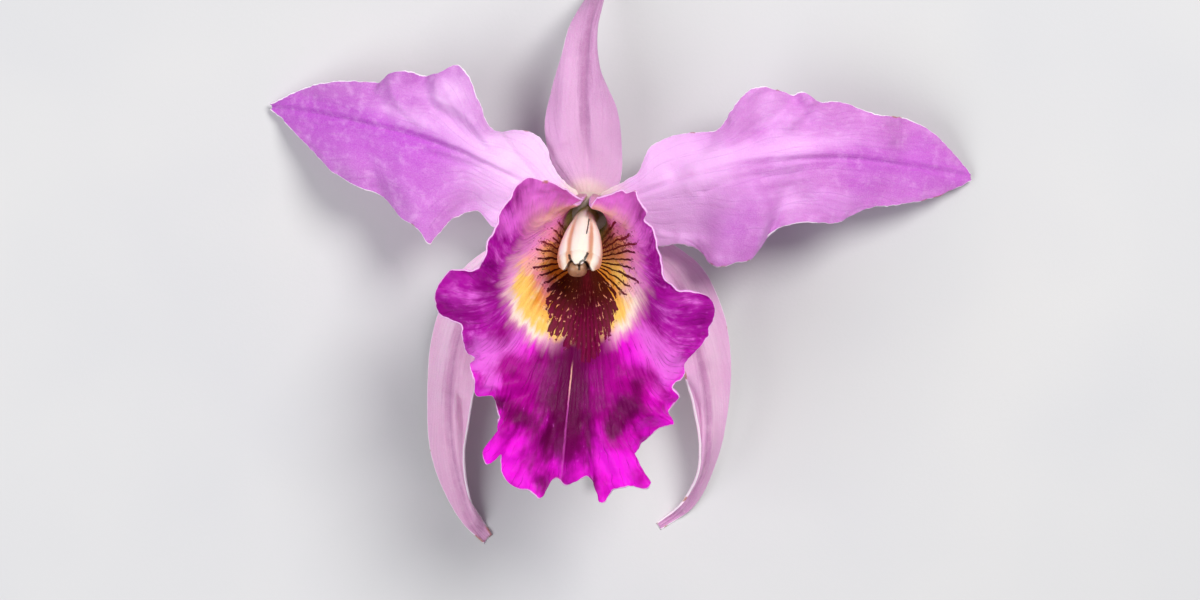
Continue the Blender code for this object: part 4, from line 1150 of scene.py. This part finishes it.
# %% The blades and the lip
PETAL_SIZES = {
    "rib_thickness": 1.1, "edge_thickness": 0.45, "edge_round": 0.3, "vein_depth": 0.03,
    "channel_depth": 0.45, "channel_width": 1.3, "swell_height": 0.35, "swell_size": 9.0,
    "frill_height": 0.6, "frill_size": 4.5, "frill_reach": 5.0,
    "tooth_depth": 0.55, "tooth_size": 1.5, "tooth_reach": 1.2,
}
SEPAL_SIZES = {
    "rib_thickness": 1.3, "edge_thickness": 0.6, "edge_round": 0.4, "vein_depth": 0.03,
    "channel_depth": 0.5, "channel_width": 1.6, "swell_height": 0.15, "swell_size": 10.0,
    "frill_height": 0.12, "frill_size": 6.0, "frill_reach": 3.0,
    "tooth_depth": 0.08, "tooth_size": 1.5, "tooth_reach": 1.0,
}
LIP_SIZES = {
    "rib_thickness": 1.1, "edge_thickness": 0.5, "edge_round": 0.35, "vein_depth": 0.05,
    "channel_depth": -0.25, "channel_width": 0.6, "swell_height": 0.6, "swell_size": 5.0,
    "frill_height": 1.3, "frill_size": 4.5, "frill_reach": 7.0,
    "tooth_depth": 0.6, "tooth_size": 1.8, "tooth_reach": 1.6,
}
pieces = {}
for seed, name in enumerate(GUIDES):
    is_petal = name.startswith("petal")
    skin = blade_skin(name, *((300, 150) if is_petal else (240, 64)))
    sizes = PETAL_SIZES if is_petal else SEPAL_SIZES
    pieces[name] = cook(tissue, skin, name + "_blade", seed=float(seed), material=finishes[name], **sizes)
pieces["lip"] = cook(tissue, lip_skin(600, 78), "lip_blade", seed=9.0, material=finishes["lip"], **LIP_SIZES)

# %% [markdown]
# ## The column
#
# Stamens and pistil are grown together into one waxy club, ridged along its back, with a wing down
# each side that ends in a tooth. Its end is a cup that holds the anther. A solid tube could be cut
# to this shape, but a sock is simpler: rings of points go up the outside, over a rim whose height
# changes round the club, and down the inside to the bottom of the cup.

# %% The column's shape
COLUMN = [
    (-0.08, -0.2, 0, -1.5, 2.3, 2.3), (0, -0.3, -0.2, 0.6, 2.4, 2.4), (0.2, -0.8, -0.9, 6, 2.4, 2.4),
    (0.42, -1.1, -2.2, 12, 2.8, 2.7), (0.64, -1.4, -4.8, 17.5, 4, 3.2), (0.82, -1.8, -8, 21.6, 4.7, 3.2),
    (0.94, -2, -10.2, 23.7, 4.6, 2.9), (1, -2.1, -10.9, 24.2, 4.3, 2.6), (1.14, -2.2, -12.5, 25.3, 3.6, 2.1),
]
# Where the rim stands, as degrees from the back and share of the length.
RIM = [(0, 1.06), (14, 1.055), (24, 0.99), (32, 1.0), (48, 1.07), (66, 1.11), (84, 1.05), (110, 0.97), (180, 0.95)]
# Ridges and furrows of the back: degrees, width in degrees, and rise as a share of the radius.
FLUTES = [(0, 16, 0.07), (31, 8, -0.09), (58, 13, 0.05), (80, 8, -0.04), (180, 26, -0.15)]
WALL = 0.5
CUP_BOTTOM = 0.86
BELLY = 0.75


def bump_at(value, middle, width):
    return np.exp(-(((value - middle) / width) ** 2))


def club_ring(along, turn, shrink):
    """Points of the column at these places along it and turns round it, shrunk by so many millimetres."""
    values = smooth_line(COLUMN, along)
    path = unit(smooth_line(COLUMN, along + 0.01)[:, :3] - smooth_line(COLUMN, along - 0.01)[:, :3])
    across = unit(np.array([1.0, 0, 0]) - path * path[:, :1])
    back = np.cross(path, across)
    degrees = np.degrees(np.abs(turn))
    grown = np.clip((along - 0.2) / 0.5, 0, 1)
    flute = 1 + grown * sum(rise * bump_at(degrees, middle, width) for middle, width, rise in FLUTES)
    wide = (values[:, 3] - shrink) * np.sin(turn) * (1 - 0.12 * np.maximum(0, np.cos(turn)))
    deep = (values[:, 4] - shrink) * np.cos(turn) * np.where(np.cos(turn) < 0, BELLY, 1) * flute
    return values[:, :3] + wide[:, None] * across + deep[:, None] * back


def closed_shell(name, rings, marks, finish):
    """A closed piece from rings of points about the heart, with a pole at either end."""
    rows, sides = rings.shape[:2]
    points = np.concatenate([rings.reshape(-1, 3), [rings[0].mean(axis=0), rings[-1].mean(axis=0)]])
    index = np.arange(rows * sides).reshape(rows, sides)
    turned = np.roll(index, -1, axis=1)
    walls = np.stack([index[:-1], turned[:-1], turned[1:], index[1:]], axis=-1).reshape(-1, 4).tolist()
    first, last = rows * sides, rows * sides + 1
    ends = [(b, a, first) for a, b in zip(index[0], turned[0])]
    ends += [(a, b, last) for a, b in zip(index[-1], turned[-1])]
    faces = walls + [tuple(int(i) for i in end) for end in ends]
    corners = points[[face[:3] for face in faces]]
    if np.einsum("ij,ij->i", corners[:, 0], np.cross(corners[:, 1], corners[:, 2])).sum() < 0:
        faces = [tuple(reversed(face)) for face in faces]
    mesh = bpy.data.meshes.new(name)
    mesh.from_pydata(((points + HEART) * MM).tolist(), [], faces)
    for mark, values in marks.items():
        filled = np.append(values.ravel(), [values[0].mean(), values[-1].mean()])
        mesh.attributes.new(mark, "FLOAT", "POINT").data.foreach_set("value", filled.astype(np.float32))
    mesh.shade_smooth()
    mesh.materials.append(finish)
    return new_piece(name, mesh)


# %% [markdown]
# ## Waxy finishes
#
# Column and anther cap are firm and waxy, so light goes deeper than in a petal and the shine is
# closer. The column is ivory and greenish at the foot, with painted shade in pinkish beige down its
# wings, in its furrows and towards its end. The cap is buff, with painted shade towards its sides,
# its open rim and over its inside. One function mixes both from their own colours, and a mark on the
# mesh gives the painted shade, nearly black, of the groove, the slits, the cup and the seams of the
# cap, where it also sinks the fine relief.

# %% Column, cap and stalk finishes
WAX = {
    "Subsurface_Weight": 0.35, "Subsurface_Scale": 0.002, "Subsurface_Radius": (1.0, 0.6, 0.45),
    "IOR": 1.45, "Coat_Weight": 0.1, "Coat_Roughness": 0.25,
}


def waxy_finish(name, light, shade, foot, foot_span, strokes):
    tree = Finish(name, **WAX)
    patches = tree.cloud(2.6, 3.0)
    grain = tree.cloud(0.22, 2.0)
    crease = tree.attribute("crease")
    for width, line in strokes:
        crease = tree.maths("MAXIMUM", crease, tree.stroke(width, TIP_HEIGHT, *line))
    colour = tree.mix(tree.smooth(tree.attribute("shade") + patches * 0.5, 0.1, 0.9), light, shade)
    colour = tree.mix(tree.smooth(tree.attribute("along"), *foot_span), colour, foot)
    colour = tree.mix(tree.smooth(grain, 0.1, 0.4, 0.0, 0.12), colour, shade)
    # Painted shade, nearly black, in the groove, the slits, the cup and the seams of the cap.
    colour = tree.mix(crease * 0.92, colour, paint(38, 20, 16))
    roughness = tree.smooth(patches, -0.4, 0.4, 0.26, 0.42)
    return tree.finish(colour, roughness, grain * 0.05 + patches * 0.12 - crease * 0.2)


# Thin dark marks of the picture, drawn as painted shade in the groove, the slits and the seams of the cap: how wide,
# and the pixels they run through.
TIP_HEIGHT = 24.5
GROOVE = (0.17, [(588.9, 218.5), (587.9, 226), (586.6, 233)])
SLITS = [(0.33, [(569.2, 255.5), (571, 261.5)]), (0.33, [(587.4, 253.5), (584.6, 260)])]
HOOK = (0.27, [(587.6, 266), (586, 262.5), (583, 260.4), (580.8, 261.6), (579.4, 264.6), (579.1, 269.6)])
CORNER = (0.25, [(566.6, 266), (567.6, 263), (569.6, 261.6)])

finishes["column"] = waxy_finish(
    "column_tissue", paint(255, 244, 226), paint(216, 158, 124), paint(190, 178, 92), (0.42, 0.2),
    [GROOVE, *SLITS, HOOK])
# The cap's foot colour is painted shade over its inside, and its shade colour painted shade towards its sides and rim.
finishes["anther_cap"] = waxy_finish(
    "anther_cap_tissue", paint(172, 126, 94), paint(108, 72, 52), paint(96, 62, 46), (0.95, 1.0),
    [HOOK, CORNER])


def column_piece():
    sides = 120
    turn = (np.arange(sides) + 0.5) * math.tau / sides
    turn = np.where(turn > math.pi, turn - math.tau, turn)
    degrees = np.degrees(np.abs(turn))
    rim = smooth_line(RIM, degrees)[:, 0]
    rings, places = [], []
    for part in np.linspace(0, 1, 110):
        places.append(COLUMN[0][0] + (rim - COLUMN[0][0]) * part)
        rings.append(club_ring(places[-1], turn, 0))
    for step in np.linspace(0, math.pi, 8)[1:-1]:
        places.append(rim + 0.012 * math.sin(step))
        rings.append(club_ring(places[-1], turn, WALL / 2 * (1 - math.cos(step))))
    for part in np.linspace(0, 1, 30):
        places.append(rim + (CUP_BOTTOM - rim) * part)
        rings.append(club_ring(places[-1], turn, WALL + 0.25 * part))
    places = np.array(places)
    inside = (np.arange(len(places)) >= 112)[:, None]
    # Painted shade: the top of the rim and the inside of the cup are marked dark.
    crease = np.broadcast_to(inside * 0.75, places.shape)
    # Painted shade: in the furrows, down the wings and towards the end of the club.
    shade = 0.9 * bump_at(degrees[None], 33, 9) + 0.8 * bump_at(degrees[None], 84, 16) + 0.3 * (places > 0.9)
    marks = {"along": places, "crease": crease, "shade": shade * np.clip((places - 0.3) * 2.5, 0, 1)}
    return closed_shell("column_club", np.array(rings), marks, finishes["column"])


pieces["column"] = column_piece()

# %% [markdown]
# ## The anther cap and what it holds
#
# A small hinged cap closes the cup and keeps four waxy pollen masses. It is a rounded box rather
# than a ball, open towards the column, so it's drawn as a second sock. The masses are four copies
# of one shape in a row, which is work for Geometry Nodes: one mesh point each, and one ball that is
# set on all of them.

# %% The anther cap
CAP_CENTRE = np.array([-2.4, -11.3, 24.3])
CAP_RADII = (2.1, 1.7, 1.75)
CAP_FRONT = np.array([0, -0.8, 0.6])
CAP_TOP = np.array([0, 0.6, 0.8])
CAP_BOXY = 0.78
CAP_OPENS = math.radians(148)


def cap_piece():
    sides = 96
    lon = (np.arange(sides) + 0.5) * math.tau / sides

    def boxed(value):
        return np.sign(value) * np.abs(value) ** CAP_BOXY

    rings, places, inner = [], [], []
    for lat in np.linspace(0.03, CAP_OPENS, 56):
        places.append(lat / CAP_OPENS)
        inner.append((lat, 1.0))
    for lat in np.linspace(CAP_OPENS, 0.05, 24):
        places.append(1.0)
        inner.append((lat, 0.74))
    for lat, size in inner:
        x = boxed(math.sin(lat)) * boxed(np.cos(lon)) * CAP_RADII[0] * size
        top = boxed(math.sin(lat)) * boxed(np.sin(lon)) * CAP_RADII[2] * size
        out = boxed(math.cos(lat)) * CAP_RADII[1] * size
        seam = bump_at(x, 0.25, 0.22) * (np.sin(lon) > -0.3) * (size == 1.0)
        top = top - 0.16 * seam * np.sign(top)
        rings.append(CAP_CENTRE + x[:, None] * (1, 0, 0) + top[:, None] * CAP_TOP + out * CAP_FRONT)
    rings = np.array(rings)
    rows = np.array([lat for lat, _ in inner])[:, None]
    x = rings[..., 0] - CAP_CENTRE[0]
    # Painted shade: darker towards the cap's sides and towards its open rim.
    marks = {
        "along": np.broadcast_to(np.array(places)[:, None], x.shape),
        "crease": np.zeros_like(x),
        "shade": np.clip(np.abs(x) / 2.2, 0, 1) ** 2 + 0.5 * (rows > 1.7) + 0.0 * x,
    }
    return closed_shell("anther_cap_shell", rings, marks, finishes["anther_cap"])


pieces["anther_cap"] = cap_piece()

# %% The pollen masses
POLLEN_HELD = CAP_CENTRE + (0, 0.8, -0.6)
POLLEN_STEP = 0.58
POLLEN_TILT = math.radians(-35)


def pollen_recipe():
    tree, given = new_recipe("pollen masses", {
        "Half Width": 0.36, "Half Depth": 0.5, "Half Length": 0.65, "Tilt": POLLEN_TILT, "Dimple": 0.03,
    })
    ball = tree.node("GeometryNodeMeshUVSphere", sockets={"Segments": 24, "Rings": 16, "Radius": MM})
    normal = tree.node("GeometryNodeInputNormal")
    here = tree.node("GeometryNodeInputPosition")
    dimples = (tree.noise(here, 2600.0, 2.0) - 0.5) * given["Dimple"] * MM
    ball = tree.node("GeometryNodeSetPosition", sockets={"Geometry": ball, "Offset": tree.scaled(normal, dimples)})
    size = tree.vector(given["Half Width"], given["Half Depth"], given["Half Length"])
    placed = tree.node("GeometryNodeInstanceOnPoints", sockets={
        "Points": given["Geometry"], "Instance": ball,
        "Rotation": tree.vector(given["Tilt"], 0.0, 0.0), "Scale": size,
    })
    real = tree.node("GeometryNodeRealizeInstances", sockets={0: placed})
    smooth = tree.node("GeometryNodeSetShadeSmooth", sockets={"Geometry": real})
    return end_recipe(tree, smooth, given["Material"])


pollen_wax = Finish("pollen_wax", **WAX)
pollen_tone = pollen_wax.mix(
    pollen_wax.smooth(pollen_wax.cloud(0.5), -0.3, 0.3), paint(226, 168, 48), paint(250, 214, 110))
pollen_finish = pollen_wax.finish(pollen_tone, 0.3, pollen_wax.cloud(0.15) * 0.03)
held = bpy.data.meshes.new("pollen_places")
spots = [(POLLEN_HELD + HEART + ((i - 1.5) * POLLEN_STEP, 0, 0)) * MM for i in range(4)]
held.from_pydata([tuple(spot) for spot in spots], [], [])
pieces["pollinia"] = cook(pollen_recipe(), held, "pollen_masses", material=pollen_finish)

# %% [markdown]
# ## The ovary and its stalk
#
# Behind the flower the six-ribbed ovary bends down and narrows into the stalk. In a cattleya it also
# twists through half a turn while the bud opens, which is why the lip ends up lowest, and the ribs
# show that twist. A sweep along a path is what Geometry Nodes do best: the path carries its radius,
# its twist and how deep its ribs are, and a circle is swept along it.

# %% The stalk
STALK = [
    (0, 0, 0, 0.4, 0.2, 0), (0.01, 0, 0, 0.1, 3.6, 0), (0.03, 0, -0.1, -1.2, 5.1, 0.1),
    (0.07, 0, -0.1, -4.4, 5.1, 0.2), (0.13, 0, -1.6, -7.4, 4.2, 0.28), (0.22, 0.3, -6.5, -10.3, 3.4, 0.3),
    (0.42, 1.3, -21, -12.2, 3.1, 0.24), (0.7, 2.3, -40, -13.2, 2.5, 0.1), (1, 3, -57, -14.2, 2.1, 0.04),
]


def stalk_recipe():
    tree, given = new_recipe("ribbed stalk", {"Ribs": 6.0, "Sides": 96, "Merge Distance": 0.001})
    path = tree.node("GeometryNodeMeshToCurve", sockets={"Mesh": given["Geometry"]})
    path = tree.node("GeometryNodeSetCurveTilt", sockets={"Curve": path, "Tilt": tree.attribute("twist")})
    ring = tree.node("GeometryNodeCurvePrimitiveCircle", {"mode": "RADIUS"}, {"Resolution": given["Sides"], 4: MM})
    around = tree.node("GeometryNodeSplineParameter")
    ring = tree.node("GeometryNodeStoreNamedAttribute", {"data_type": "FLOAT", "domain": "POINT"},
                     {"Geometry": ring, "Name": "around", "Value": around})
    body = tree.node("GeometryNodeCurveToMesh", sockets={
        "Curve": path, "Profile Curve": ring, "Scale": tree.attribute("radius"), "Fill Caps": True})
    rib = tree.maths("COSINE", tree.attribute("around") * given["Ribs"] * math.tau)
    lift = tree.scaled(tree.node("GeometryNodeInputNormal"), rib * tree.attribute("rib") * MM)
    body = tree.node("GeometryNodeSetPosition", sockets={"Geometry": body, "Offset": lift})
    body = tree.node("GeometryNodeMergeByDistance",
                     sockets={"Geometry": body, "Distance": given["Merge Distance"] * MM})
    smooth = tree.node("GeometryNodeSetShadeSmooth", sockets={"Geometry": body})
    return end_recipe(tree, smooth, given["Material"])


def stalk_path():
    along = np.concatenate([np.linspace(0, 0.03, 12)[:-1], np.linspace(0.03, 1, 130)])
    values = smooth_line(STALK, along)
    path = bpy.data.meshes.new("stalk_path")
    points = (values[:, :3] + HEART) * MM
    path.from_pydata(points.tolist(), [(i, i + 1) for i in range(len(points) - 1)], [])
    marks = {"radius": np.maximum(values[:, 3], 0.05), "rib": values[:, 4], "twist": along * math.pi, "along": along}
    for mark, numbers in marks.items():
        path.attributes.new(mark, "FLOAT", "POINT").data.foreach_set("value", numbers.astype(np.float32))
    return path


def stalk_finish():
    tree = Finish("stalk_tissue", **FLESH)
    along = tree.attribute("along")
    patches = tree.cloud(5.0, 3.0)
    grain = tree.cloud(0.35, 2.0)
    colour = tree.mix(tree.smooth(patches, -0.3, 0.3), paint(168, 180, 100), paint(204, 206, 142))
    colour = tree.mix(tree.smooth(along + patches * 0.1, 0.3, 0.04) * 0.8, colour, paint(226, 196, 198))
    lengthwise = tree.noise(tree.vector(tree.attribute("around") * 60.0, along * 8.0, 0.0), 1.0, 2.0) - 0.5
    colour = tree.mix(tree.smooth(lengthwise, 0.05, 0.3) * 0.35, colour, paint(150, 112, 92))
    cut = tree.smooth(along, 0.997, 1.0)
    colour = tree.mix(cut * 0.6, colour, paint(226, 222, 176))
    roughness = tree.smooth(patches, -0.4, 0.4, 0.36, 0.52)
    return tree.finish(colour, roughness, grain * 0.06 + lengthwise * 0.1)


pieces["ovary_pedicel"] = cook(stalk_recipe(), stalk_path(), "ovary_and_stalk", material=stalk_finish())

# %% [markdown]
# ## Floor and light
#
# The flower is shown in plain studio light: one large soft lamp at the upper right, a weaker one at
# the left to open the shadows, and a pale surround. The floor is the surface that the flower lies
# on. The standard view keeps the magentas as strong as they are painted.

# %% Floor, lamps and surround
FLOOR_HALF = 1.5
floor_mesh = bpy.data.meshes.new("floor")
corners = [(-FLOOR_HALF, -FLOOR_HALF, 0), (FLOOR_HALF, -FLOOR_HALF, 0), (FLOOR_HALF, FLOOR_HALF, 0), (-FLOOR_HALF, FLOOR_HALF, 0)]
floor_mesh.from_pydata(corners, [], [(0, 1, 2, 3)])
floor_look = Finish("studio_floor")
floor_tone = floor_look.mix(
    floor_look.smooth(floor_look.cloud(60.0), -0.4, 0.4), paint(206, 206, 208), paint(214, 213, 212))
floor_mesh.materials.append(floor_look.finish(floor_tone, 0.7, floor_look.cloud(0.8) * 0.02))
floor = bpy.data.objects.new("floor", floor_mesh)
bpy.context.scene.collection.objects.link(floor)

LAMPS = [
    ("key_lamp", (0.5, 0.5, 0.95), 0.6, 11.5, (1.0, 0.99, 0.97)),
    ("fill_lamp", (-0.7, -0.3, 0.8), 0.9, 7.5, (0.97, 0.98, 1.0)),
]
for name, place, size, power, tint in LAMPS:
    lamp = bpy.data.objects.new(name, bpy.data.lights.new(name, "AREA"))
    lamp.data.shape = "DISK"
    lamp.data.size = size
    lamp.data.energy = power
    lamp.data.color = tint
    lamp.location = Vector(HEART * MM) + Vector(place)
    lamp.rotation_euler = Vector(place).to_track_quat("Z", "Y").to_euler()
    bpy.context.scene.collection.objects.link(lamp)

surround = bpy.data.worlds.new("surround")
surround.use_nodes = True
surround.node_tree.nodes["Background"].inputs["Color"].default_value = (0.9, 0.92, 1.0, 1)
surround.node_tree.nodes["Background"].inputs["Strength"].default_value = 0.26
bpy.context.scene.world = surround
bpy.context.scene.view_settings.view_transform = "Standard"

# %% [markdown]
# ## Handing over
#
# Each finished piece now stands for the solid of its name: the solid is hidden, and the piece rides
# on the flower's one body.

# %% Pieces to nodes
for node, piece in pieces.items():
    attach(piece, "root")
    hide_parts(node)
